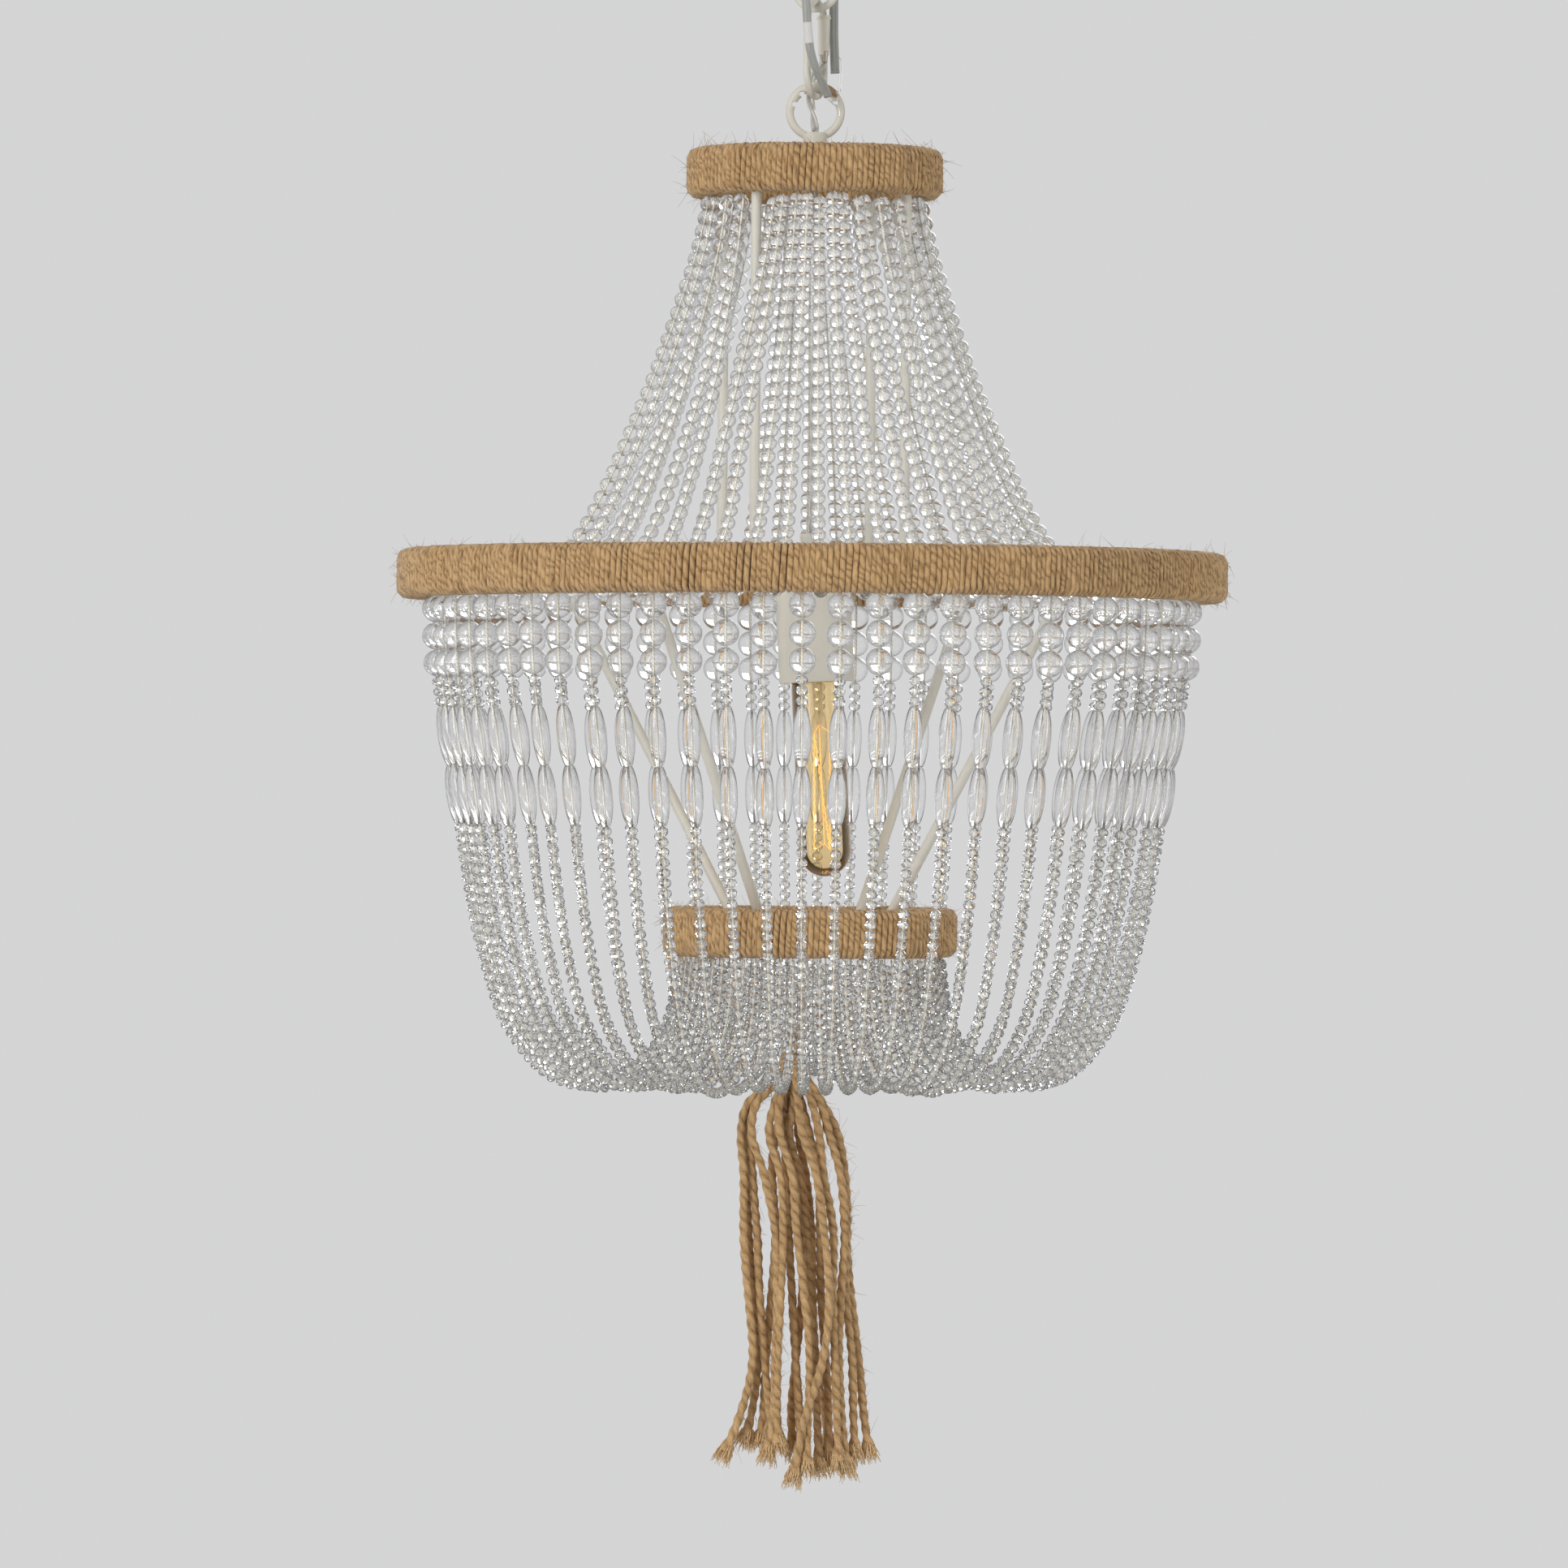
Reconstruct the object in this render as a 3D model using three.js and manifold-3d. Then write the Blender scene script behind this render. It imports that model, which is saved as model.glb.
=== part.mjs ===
// A beaded chandelier on a short chain: three twine-wrapped rings on a rod frame, two curtains of
// beads, a lamp in the middle and a twine tassel underneath.
// Millimetres, +Z up. The origin is the middle of the strap's top face, which lies on the ceiling.
import * as THREE from 'three';
import { mergeVertices } from 'three/addons/utils/BufferGeometryUtils.js';
import Module from 'manifold-3d';

const wasm = await Module();
wasm.setup();

// Clearances and general values
const fit = 0.3; // gap between pieces that touch
const overrun = 2; // how far a cutting shape runs past what it cuts
const mergeDistance = 0.001;
const roundSides = 12;
const smallSides = 8;

// Strap and canopy at the ceiling
const strapLength = 98;
const strapWidth = 18;
const strapThickness = 3;
const strapBossRadius = 8;
const strapBossHeight = 7;
const strapScrewSpacing = 70;
const strapScrewRadius = 2.2;
const strapScrewLength = 5.5;
const strapScrewHeadRadius = 4.2;
const strapScrewHeadHeight = 2.4;
const canopyRadius = 60;
const canopyFloorRadius = 36;
const canopyHeight = 23.5;
const canopyWall = 1.6;
const canopyShoulderShares = [[1, 0.2], [0.72, 0.7]];
const canopySides = 16;
const canopyNutRadius = 10;
const canopyNutHeight = 5.9;
const grommetRadius = 6;
const grommetLip = 1.4;
const wireCapRadius = 4.4;
const wireCapTipRadius = 2.6;
const wireCapLength = 8;

// Threaded stems
const stemRadius = 4.8;
const stemBoreRadius = 3.2;

// Cast loops
const loopRadius = 18;
const loopBand = 5.1;
const loopHeavyBand = 6.3;
const loopSegments = 20;
const loopSides = 6;
const loopBossRadius = 7.4;
const loopBossLength = 10;
const notchRadius = 1.7;
const notchDistance = 13.2;
const notchAngles = [24, 56, 128, 161];

// Chain
const linkLength = 62;
const linkWidth = 32;
const linkRod = 4.5;
const linkTurn = 22;
const linkBendSegments = 8;
const linkSides = 6;
const contactGap = 0.35;

// Twine-wrapped rings
const ringHeight = 29;
const ringThickness = 16.6;
const ringCorner = 4.6;
const twine = 3.5;
const topRingRadius = 77;
const midRingRadius = 250;
const bottomRingRadius = 88.5;
const topRingDrop = 37.7; // from the middle of the lower loop
const midRingDrop = 242.6; // from the top ring's middle
const bottomRingDrop = 214.3; // from the middle ring's middle
const smallRingSegments = 20;
const largeRingSegments = 40;

// Rod frame
const rodRadius = 3.1;
const rodSides = 8;
const armCount = 4;
const armTurn = -32.5;
const topHubRadius = 12;
const hubReach = 5;
const midHubRadius = 14;
const bottomHubRadius = 10;
const upperRodInset = 12; // from the top ring's outer face
const lowerRodTopInset = 68; // from the middle ring's outer face
const lowerRodBottomInset = 38.5; // from the bottom ring's outer face
const lockNutRadius = 9;
const lockNutHeight = 5;

// Lamp
const lampLean = 3;
const leanRoom = 0.9;
const couplingRadius = 6.1;
const couplingHeight = 20.4;
const cupRadius = 22.8;
const cupWall = 2.2;
const cupLength = 57.5;
const cupHeadGap = 1.3;
const cupSides = 16;
const holderRadius = 17.5;
const holderShoulder = 5.5;
const holderLength = 42;
const stemReach = 12; // how far the lamp's stem runs under the hub
const capRadius = 13.1;
const capTipRadius = 5;
const capTipHeight = 4;
const capLength = 26;
const capRim = 3;
const bulbRadius = 15.65;
const bulbNeckRadius = 11.6;
const bulbNeckLength = 13;
const bulbWall = 1;
const bulbEndDrop = 181; // from the middle of the middle ring
const bulbEndSteps = 4;
const filamentReach = 74;
const filamentStemRadius = 3.2;
const filamentStemLength = 36;
const filamentRadius = 0.6;
const filamentSpread = 6.5;
const filamentLoops = 3;
const holderFloor = 7.5;

// Upper curtain: round beads from the top ring to the inside of the middle ring
const upperStrandCount = 48;
const upperBead = 8.8;
const upperStagger = 4.8;
const upperHangInset = 15; // from the top ring's outer face
const upperGapAngle = 5.5; // room for a frame rod at the top, either side
const upperSag = 12.7; // lowest point under the middle of the middle ring
const upperRouteShares = [
  [0, 0], [0.036, 0.118], [0.109, 0.282], [0.192, 0.445], [0.289, 0.608], [0.397, 0.771],
  [0.467, 0.853], [0.562, 0.927], [0.681, 0.976], [0.825, 1], [0.932, 0.988], [1, 0.962],
];
const upperSteps = 6;

// Lower curtain: large round, small faceted, long oval and small faceted beads
const lowerStrandCount = 64;
const roundBead = 16;
const roundBeadCount = 3;
const roundBeadGap = 0.4;
const threadLead = 1.6; // bare thread above the first bead
const spacerRun = 18;
const facetBead = 6.4;
const ovalBead = 10.8;
const ovalLength = 35.4;
const ovalCount = 2;
const threadRadius = 0.9;
const lowerHangInset = 5.4; // from the tie band's outer edge
const lowerTurnRadius = 135; // where the loops are lowest
const lowerEndInset = 9.5; // from the bottom ring's outer face
const lowerDrop = 305; // from the middle ring's middle to the lowest point
const lowerHangDrop = 11; // from the middle ring's middle to the tie
const lowerFallShares = [
  [0, 0], [0, 0.05], [0.01, 0.13], [0.033, 0.2], [0.085, 0.29], [0.13, 0.38], [0.175, 0.47],
  [0.225, 0.575], [0.295, 0.69], [0.38, 0.79], [0.465, 0.865], [0.6, 0.93], [0.77, 0.98], [1, 1],
];
const lowerRiseShares = [
  [0.33, 0.955], [0.58, 0.85], [0.78, 0.68], [0.92, 0.42], [1, 0],
];
const chainStationShares = [0.26, 0.46, 0.6, 0.72, 0.84, 1];
const strandSides = 3;
const tieWidth = 4.4;
const tieHeight = 2.2;
const upperTieInset = 4.2; // angle left clear of the frame rods at each end
const lowerTieInset = 0.5;
const lowerTieWidth = 7;
const strandEndGap = 1;

// Tassel
const finialRadius = 2.7;
const finialOffset = -3.3;
const finialLength = 30.8;
const finialRimRadius = 4.2;
const finialRimHeight = 1.6;
const finialRimRise = 8;
const tasselRope = 4.6;
const knotRadius = 9;
const knotHeight = 12;
const knotRise = 12; // from the strands' lowest point up to the knot's middle
const tasselCord = 5;
const tasselSteps = 7;
const tasselFlare = 8; // diameter at a cord's frayed end
const knotShares = [0.6, 0.45];
const tasselDepthShares = [0.35, 0.7, 0.9, 1];
const gatherHeight = 5;
const gatherShare = 0.92;
const ropeNeckRadius = 1.2; // at its drawn-in upper end
const ropeNeckShare = 0.1;
const swingRoom = 0.85; // under the finial, so that the rope can swing
const ropeEndGap = 0.8; // over the knot, as the rope leans

// Routes of the cords, hand chosen, x, y, z in millimetres
const supplyUpperRoute = [
  [-24, -6, -12], [-24, -6, -20], [-24, -6, -32], [-23, -7.5, -40], [-19.5, -10, -50],
  [-15, -12.5, -61], [-11, -14.8, -72], [-8.4, -16.6, -83], [-7.2, -17.4, -92.85],
];
const supplyLowerRoute = [
  [-7.2, -17.4, -93.15], [-6.4, -18.4, -105], [-6, -19, -116], [-5.3, -19.2, -128],
  [-4.5, -19.2, -138], [-2.8, -18.6, -148], [0.5, -16.6, -158], [4.6, -13.2, -166],
  [7.6, -9.8, -173.2],
];
const secondUpperRoute = [
  [24, 6, -12], [24, 6, -20], [24, 6, -32], [22.5, 6.2, -42], [19, 6.6, -54], [15.2, 7, -66],
  [12.6, 7.2, -79], [11.4, 7.2, -92.85],
];
const secondLowerRoute = [
  [11.4, 7.2, -93.15], [11, 7.2, -106], [10.8, 7, -120], [10.9, 6.8, -134], [11.4, 6.6, -148],
  [11.8, 6.4, -158],
];
const leadUpperRoute = [
  [4.7, 4.1, -147.8], [4.6, 4.2, -151], [2.6, 5.4, -154], [-0.3, 6.4, -157.8], [-2.9, 6.7, -163],
  [-3.3, 6.2, -168], [-3, 4.6, -173.8], [-1.9, 2.4, -180], [-0.6, 0.6, -187], [0, 0, -193],
];
const leadRoute = [
  [0, 0, -193.3], [0, 0, -215], [0.4, 0.3, -240], [1.2, 0.4, -280], [0.4, -0.6, -320],
  [-0.8, -0.4, -360], [-0.2, 0.4, -400], [-1.4, 0, -430], [-1.3, 0, -438],
];
const supplyWidth = 5.2;
const secondWidth = 5.6;
const leadWidth = 3.6;
const cordSides = 8;
const cordSteps = 9;
const leadSteps = 12;
const connectorPlace = [4.8, 4, -135.2];
const connectorRadius = 3.4;
const connectorLength = 24;
const connectorRimHeight = 1.8;
const connectorRim = 0.5;

// Tassel cords, hand chosen: x at each level under the knot's middle, depth y, and the last level
const tasselLevels = [4, 19, 36, 61, 95, 134, 173, 208];
const tasselCords = [
  { x: [-10, -27, -31, -29, -29, -26, -23, -31], y: -4, end: [-43, 238] },
  { x: [-9, -24, -28, -28, -26, -23, -20, -24], y: 4, end: [-30, 230] },
  { x: [-8, -22, -24.5, -17, -10, -8.5, -9.5, -10.5], y: -8, end: [-15, 239] },
  { x: [-8, -23, -26, -24, -21, -19, -16, -12], y: 0, end: [-11, 228] },
  { x: [-5, -11, -14, -7, -5, -6.5, -8, -8], y: -9, end: [-5, 233] },
  { x: [-3, -8, -7.5, 0, 3, 8, 11.5, 10.5], y: -11, end: [9, 246] },
  { x: [0, 0.5, -2, 4.5, 9, 12, 14, 16], y: -2, end: [18, 247] },
  { x: [2, 3.5, 6, 14.5, 19.5, 23, 19, 8.5], y: -14, end: [0.5, 252] },
  { x: [6, 12, 16, 19, 25, 25, 26.5, 28], y: -8, end: [30, 244] },
  { x: [8, 17, 22, 29, 32, 30, 29, 31], y: -4, end: [35, 247] },
  { x: [9, 18.5, 27, 32, 33.5, 33, 37, 38], y: 3, end: [39.5, 239] },
  { x: [8, 17, 24, 29.5, 32.5, 36, 41, 44.5], y: 9, end: [49, 238] },
  { x: [-1, -3.5, -5.5, -2, 5.5, 6.5, 3, 0.5], y: 8, end: [3, 237] },
  { x: [1, 3, 3.5, 8, 12, 13, 15, 21], y: 10, end: [25, 234] },
  { x: [-2, -5.5, -10, -12, -9.5, -12, -15, -16.5], y: 7, end: [-20, 232] },
  { x: [-1, -5.5, -4.5, -3.5, -2, 0.5, 3, 5.5], y: 2, end: [6.5, 243] },
  { x: [2, 5.5, 10, 16, 17, 18, 21, 23], y: 4, end: [22, 242] },
];
const tasselOffset = [-9.8, 0];

// Places that follow from the sizes
const degree = Math.PI / 180;
const loopReach = loopRadius - loopHeavyBand / 2;
const canopyNutZ = -canopyHeight - fit;
const canopyLoopZ = canopyNutZ - canopyNutHeight - fit - loopBossLength - loopRadius + loopBand;
const loopStep = (loopHeavyBand + linkRod) / 2 + contactGap;
const linkSpan = linkLength - linkRod;
const upperLinkTop = canopyLoopZ - loopReach + loopStep;
const upperLinkBottom = upperLinkTop - linkSpan;
const lowerLinkTop = upperLinkBottom + linkRod + contactGap;
const lowerLinkBottom = lowerLinkTop - linkSpan;
const lowerLoopZ = lowerLinkBottom + loopStep - loopReach;
const topHubTop = lowerLoopZ - loopRadius + loopBand - loopBossLength - fit;
const topRingZ = lowerLoopZ - topRingDrop;
const midRingZ = topRingZ - midRingDrop;
const bottomRingZ = midRingZ - bottomRingDrop;
const topHubBottom = topRingZ - hubReach;
const finialZ = bottomRingZ - hubReach - finialLength;
const knotZ = midRingZ - lowerDrop + knotRise;
const rodAngles = [...Array(armCount).keys()].map((i) => armTurn + (360 / armCount) * i);
const chainAcross = new THREE.Vector3(Math.sin(linkTurn * degree), Math.cos(linkTurn * degree), 0);
const lampPivot = new THREE.Vector3(0, 0, midRingZ);
const rings = [
  { name: 'top', radius: topRingRadius, z: topRingZ, segments: smallRingSegments },
  { name: 'middle', radius: midRingRadius, z: midRingZ, segments: largeRingSegments },
  { name: 'bottom', radius: bottomRingRadius, z: bottomRingZ, segments: smallRingSegments },
];
const innerRadius = (ringRadius) => ringRadius - ringThickness;
const flatShare = (segments) => Math.cos(Math.PI / segments);
const upperRodRadius = topRingRadius - upperRodInset;
const lowerRodTopRadius = midRingRadius - lowerRodTopInset;
const lowerRodBottomRadius = bottomRingRadius - lowerRodBottomInset;
const upperHangRadius = topRingRadius - upperHangInset;
const lowerTieOuter = innerRadius(midRingRadius) * flatShare(largeRingSegments) - fit;
const lowerHangRadius = lowerTieOuter - lowerHangInset;
const lowerEndRadius = bottomRingRadius - lowerEndInset;
const hoopThickness = ringThickness - 2 * (twine + fit);
const hoopHeight = ringHeight - 2 * (twine + fit);

/** A closed geometry as a solid that can be joined and cut. */
function solidOf(geometry) {
  const bare = geometry.index ? geometry.toNonIndexed() : geometry.clone();
  bare.deleteAttribute('normal');
  bare.deleteAttribute('uv');
  const merged = mergeVertices(bare, mergeDistance);
  const vertProperties = merged.attributes.position.array;
  const triVerts = new Uint32Array(merged.index.array);
  return new wasm.Manifold(new wasm.Mesh({ numProp: 3, vertProperties, triVerts }));
}

/** The faces of a solid as a geometry. */
function geometryOf(solid) {
  const mesh = solid.getMesh();
  const geometry = new THREE.BufferGeometry();
  const positions = new Float32Array(mesh.vertProperties);
  geometry.setAttribute('position', new THREE.BufferAttribute(positions, 3));
  geometry.setIndex(new THREE.BufferAttribute(mesh.triVerts, 1));
  return geometry;
}

/** Several closed geometries joined into one. */
function join(geometries) {
  return geometryOf(geometries.map(solidOf).reduce((whole, piece) => whole.add(piece)));
}

/** A closed geometry with others cut away. */
function cut(geometry, tools) {
  const whole = solidOf(geometry);
  return geometryOf(tools.map(solidOf).reduce((rest, tool) => rest.subtract(tool), whole));
}

/** A solid of revolution about Z. Its outline runs up the outer side, and closes if it misses the axis. */
function lathe(outline, sides) {
  const whole = outline[0][0] > 0 ? [...outline, outline[0]] : outline;
  const points = whole.map(([radius, z]) => new THREE.Vector2(radius, z));
  return new THREE.LatheGeometry(points, sides).rotateX(Math.PI / 2);
}

/** An upright cylinder between two heights. */
function disc(radius, lowZ, highZ, sides) {
  const geometry = new THREE.CylinderGeometry(radius, radius, highZ - lowZ, sides);
  return geometry.rotateX(Math.PI / 2).translate(0, 0, (lowZ + highZ) / 2);
}

/** A round bar between two points. */
function bar(from, to, radius, sides) {
  const along = to.clone().sub(from);
  const geometry = new THREE.CylinderGeometry(radius, radius, along.length(), sides);
  const turn = new THREE.Quaternion().setFromUnitVectors(new THREE.Vector3(0, 1, 0), along.normalize());
  return geometry.applyQuaternion(turn).translate(...from.clone().add(to).multiplyScalar(0.5));
}

/** A point at an angle and radius round the axis. */
function around(angle, radius, z) {
  return new THREE.Vector3(radius * Math.cos(angle * degree), radius * Math.sin(angle * degree), z);
}

/** A tube through stations { centre, radius }, flat to the across direction, closed on itself or capped. */
function sweep(stations, across, sides, closed) {
  const count = stations.length;
  const positions = [];
  for (const [i, station] of stations.entries()) {
    const before = closed ? stations[(i + count - 1) % count] : stations[Math.max(i - 1, 0)];
    const after = closed ? stations[(i + 1) % count] : stations[Math.min(i + 1, count - 1)];
    const tangent = after.centre.clone().sub(before.centre).normalize();
    const out = new THREE.Vector3().crossVectors(across, tangent).normalize();
    const side = new THREE.Vector3().crossVectors(tangent, out);
    for (let j = 0; j < sides; j += 1) {
      const angle = (2 * Math.PI * j) / sides;
      const point = station.centre.clone();
      point.addScaledVector(out, station.radius * Math.cos(angle));
      point.addScaledVector(side, station.radius * Math.sin(angle));
      positions.push(...point);
    }
  }
  const faces = [];
  for (let i = 0; i < (closed ? count : count - 1); i += 1) {
    for (let j = 0; j < sides; j += 1) {
      const a = i * sides + j;
      const b = i * sides + ((j + 1) % sides);
      const c = ((i + 1) % count) * sides + j;
      const d = ((i + 1) % count) * sides + ((j + 1) % sides);
      faces.push(a, b, c, b, d, c);
    }
  }
  if (!closed) {
    const last = (count - 1) * sides;
    for (let j = 1; j < sides - 1; j += 1) {
      faces.push(0, j + 1, j, last, last + j, last + j + 1);
    }
  }
  const geometry = new THREE.BufferGeometry();
  geometry.setAttribute('position', new THREE.Float32BufferAttribute(positions, 3));
  geometry.setIndex(faces);
  return geometry;
}

/** A smooth curve through points given as [x, y, z]. */
function curveThrough(route) {
  const points = route.map((point) => new THREE.Vector3(...point));
  return new THREE.CatmullRomCurve3(points, false, 'centripetal');
}

/** A round cord along a route, with even steps. */
function cordAlong(route, width, steps, sides) {
  const across = new THREE.Vector3(0, 1, 0);
  const centres = curveThrough(route).getSpacedPoints(steps);
  return sweep(centres.map((centre) => ({ centre, radius: width / 2 })), across, sides, false);
}

/** The strap screwed to the ceiling box, with a threaded boss for the stem. */
function mountingStrap() {
  const plate = new THREE.BoxGeometry(strapLength, strapWidth, strapThickness);
  plate.translate(0, 0, -strapThickness / 2);
  const bossBottom = -strapThickness - strapBossHeight;
  const boss = disc(strapBossRadius, bossBottom, -strapThickness / 2, roundSides);
  const thread = disc(stemRadius + fit, bossBottom - overrun, -strapThickness, roundSides);
  const screwHole = disc(strapScrewRadius + fit, -strapThickness - overrun, overrun, smallSides);
  const left = screwHole.clone().translate(-strapScrewSpacing / 2, 0, 0);
  const right = screwHole.clone().translate(strapScrewSpacing / 2, 0, 0);
  return cut(join([plate, boss]), [thread, left, right]);
}

/** A pan-head screw through the strap, its point level with the ceiling. */
function strapScrew() {
  const seat = -strapThickness - fit;
  const head = strapScrewHeadRadius;
  return lathe([
    [0, seat - strapScrewHeadHeight],
    [head - strapScrewHeadHeight / 2, seat - strapScrewHeadHeight],
    [head, seat - strapScrewHeadHeight / 2],
    [head, seat],
    [strapScrewRadius, seat],
    [strapScrewRadius, seat - strapScrewHeadHeight + strapScrewLength],
    [0, seat - strapScrewHeadHeight + strapScrewLength],
  ], smallSides);
}

/** The canopy: a shallow bowl open towards the ceiling, with holes for the stem and the cords. */
function canopy() {
  const slope = canopyRadius - canopyFloorRadius;
  const outer = canopyShoulderShares.map(([r, z]) => [canopyFloorRadius + slope * r, -canopyHeight * z]);
  const inner = canopyShoulderShares.map(([r, z]) => [
    canopyFloorRadius + slope * r - canopyWall,
    -(canopyHeight - canopyWall) * z,
  ]);
  const holeRadius = stemRadius + fit;
  const shell = lathe([
    [holeRadius, -canopyHeight],
    [canopyFloorRadius, -canopyHeight],
    ...outer.reverse(),
    [canopyRadius, 0],
    [canopyRadius - canopyWall, 0],
    ...inner,
    [canopyFloorRadius - canopyWall, canopyWall - canopyHeight],
    [holeRadius, canopyWall - canopyHeight],
  ], canopySides);
  const holeSize = grommetRadius - grommetLip + fit;
  const cordHole = disc(holeSize, -canopyHeight - overrun, overrun - canopyHeight, smallSides);
  const [left, right] = cordPlaces().map(([x, y]) => cordHole.clone().translate(x, y, 0));
  return cut(shell, [left, right]);
}

/** Where the two cords go through the canopy. */
function cordPlaces() {
  return [supplyUpperRoute[0], secondUpperRoute[0]];
}

/** A grommet in the canopy's floor, with a lip under it and a neck through it. */
function grommet(cordWidth) {
  const bore = cordWidth / 2 + fit;
  const neck = grommetRadius - grommetLip;
  const underside = -canopyHeight - fit;
  return lathe([
    [bore, underside - grommetLip],
    [grommetRadius, underside - grommetLip],
    [grommetRadius, underside],
    [neck, underside],
    [neck, canopyWall - canopyHeight + grommetLip],
    [bore, canopyWall - canopyHeight + grommetLip],
  ], smallSides);
}

/** A closed cap over the twisted wire ends of one cord, under the strap's level. */
function wireCap(route) {
  const [x, y, end] = route[0];
  const low = end + fit;
  return lathe([
    [0, low],
    [wireCapRadius, low],
    [wireCapTipRadius, low + wireCapLength],
    [0, low + wireCapLength],
  ], smallSides).translate(x, y, 0);
}

/** A threaded tube between two heights. */
function stem(lowZ, highZ) {
  return lathe([
    [stemBoreRadius, lowZ],
    [stemRadius, lowZ],
    [stemRadius, highZ],
    [stemBoreRadius, highZ],
  ], roundSides);
}

/** A round nut with bevelled edges and a hole for a stem. */
function roundNut(radius, lowZ, highZ) {
  const hole = stemRadius + fit;
  const bevel = Math.min((highZ - lowZ) / 4, (radius - hole) / 2);
  return lathe([
    [hole, lowZ],
    [radius - bevel, lowZ],
    [radius, lowZ + bevel],
    [radius, highZ - bevel],
    [radius - bevel, highZ],
    [hole, highZ],
  ], roundSides);
}

/** A cast loop in the XZ plane about the origin, heavier on top, with a bored boss below and notches. */
function castLoop(notched) {
  const stations = [];
  for (let i = 0; i < loopSegments; i += 1) {
    const angle = (2 * Math.PI * i) / loopSegments;
    const upperHalf = Math.max(Math.sin(angle), 0);
    const radius = (loopBand + (loopHeavyBand - loopBand) * Math.sqrt(upperHalf)) / 2;
    const reach = loopRadius - radius;
    const centre = new THREE.Vector3(reach * Math.cos(angle), 0, reach * Math.sin(angle));
    stations.push({ centre, radius });
  }
  const ring = sweep(stations, new THREE.Vector3(0, 1, 0), loopSides, true);
  const bossTop = loopBand - loopRadius;
  const boss = disc(loopBossRadius, bossTop - loopBossLength, bossTop, roundSides);
  const bore = disc(stemRadius + fit, bossTop - loopBossLength - overrun, bossTop + overrun, roundSides);
  const notches = (notched ? notchAngles : []).map((angle) => {
    const notch = new THREE.CylinderGeometry(notchRadius, notchRadius, loopHeavyBand + overrun, loopSides);
    const turned = angle * degree;
    return notch.translate(notchDistance * Math.cos(turned), 0, notchDistance * Math.sin(turned));
  });
  return cut(join([ring, boss]), [bore, ...notches]);
}

/** A chain link in the XZ plane, hanging from z = 0 at its top bar's centre. */
function chainLink() {
  const bend = (linkWidth - linkRod) / 2;
  const stations = [];
  for (const [centreZ, start] of [[-bend, 0], [bend - linkSpan, Math.PI]]) {
    for (let i = 0; i <= linkBendSegments; i += 1) {
      const angle = start + (Math.PI * i) / linkBendSegments;
      const centre = new THREE.Vector3(bend * Math.cos(angle), 0, centreZ + bend * Math.sin(angle));
      stations.push({ centre, radius: linkRod / 2 });
    }
  }
  return sweep(stations, new THREE.Vector3(0, 1, 0), linkSides, true);
}

/** The outline of a ring's wrap or hoop: an upright rectangle with cut corners. */
function bandOutline(low, high, inner, outer, corner) {
  return [
    [outer - corner, low],
    [outer, low + corner],
    [outer, high - corner],
    [outer - corner, high],
    [inner + corner, high],
    [inner, high - corner],
    [inner, low + corner],
    [inner + corner, low],
  ];
}

/** The flat metal hoop inside a ring's wrap. */
function hoop(ring) {
  const outer = ring.radius - twine - fit;
  const inner = outer - hoopThickness;
  const low = ring.z - hoopHeight / 2;
  const high = ring.z + hoopHeight / 2;
  return lathe([[outer, low], [outer, high], [inner, high], [inner, low]], ring.segments);
}

/** The twine wound round a hoop, hollow where the hoop lies, with holes where bars reach the hoop. */
function wrap(ring, bars) {
  const low = ring.z - ringHeight / 2;
  const high = ring.z + ringHeight / 2;
  const outline = bandOutline(low, high, innerRadius(ring.radius), ring.radius, ringCorner);
  const skin = lathe(outline, ring.segments);
  const outer = ring.radius - twine;
  const inner = innerRadius(ring.radius) + twine;
  const space = lathe([
    [outer, low + twine],
    [outer, high - twine],
    [inner, high - twine],
    [inner, low + twine],
  ], ring.segments);
  return cut(skin, [space, ...bars]);
}

/** Four arms and a hub, solid or with a hole for a stem, for one ring. */
function spider(ring, hub, hubLow, hubHigh, hole) {
  const body = join([disc(hub, hubLow, hubHigh, roundSides), ...armBars(ring, 0, rodRadius)]);
  return hole ? cut(body, [disc(hole, hubLow - overrun, hubHigh + overrun, roundSides)]) : body;
}

/** The arms of a spider, from the middle to just short of the hoop, or some way past its face. */
function armBars(ring, past, radius) {
  const reach = (innerRadius(ring.radius) + twine + fit) * flatShare(ring.segments) - fit + past;
  return rodAngles.map((angle) => {
    const tip = around(angle, reach, ring.z);
    return bar(around(angle, 0, ring.z), tip, radius, rodSides);
  });
}

/** An upright rod from the middle ring's arm to the top ring's hoop. */
function upperRod(angle) {
  const high = topRingZ - hoopHeight / 2 - fit;
  const foot = around(angle, upperRodRadius, midRingZ);
  const shaft = bar(foot, around(angle, upperRodRadius, high), rodRadius, rodSides);
  return cut(shaft, [armAt(angle, midRingRadius, midRingZ)]);
}

/** A slanted rod from the middle ring's arm in to the bottom ring's arm. */
function lowerRod(angle) {
  const high = around(angle, lowerRodTopRadius, midRingZ);
  const low = around(angle, lowerRodBottomRadius, bottomRingZ);
  const shaft = bar(low, high, rodRadius, rodSides);
  const arms = [armAt(angle, midRingRadius, midRingZ), armAt(angle, bottomRingRadius, bottomRingZ)];
  return largestPiece(cut(shaft, arms));
}

/** The hole an upright rod needs through the top ring's wrap. */
function rodHole(angle) {
  const low = around(angle, upperRodRadius, topRingZ - ringHeight);
  return bar(low, around(angle, upperRodRadius, topRingZ), rodRadius + fit, rodSides);
}

/** An arm's outline with room round it, for coping a rod to it. */
function armAt(angle, ringRadius, z) {
  const inner = around(angle, 0, z);
  const outer = around(angle, ringRadius, z);
  return bar(inner, outer, rodRadius + fit, rodSides);
}

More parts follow.
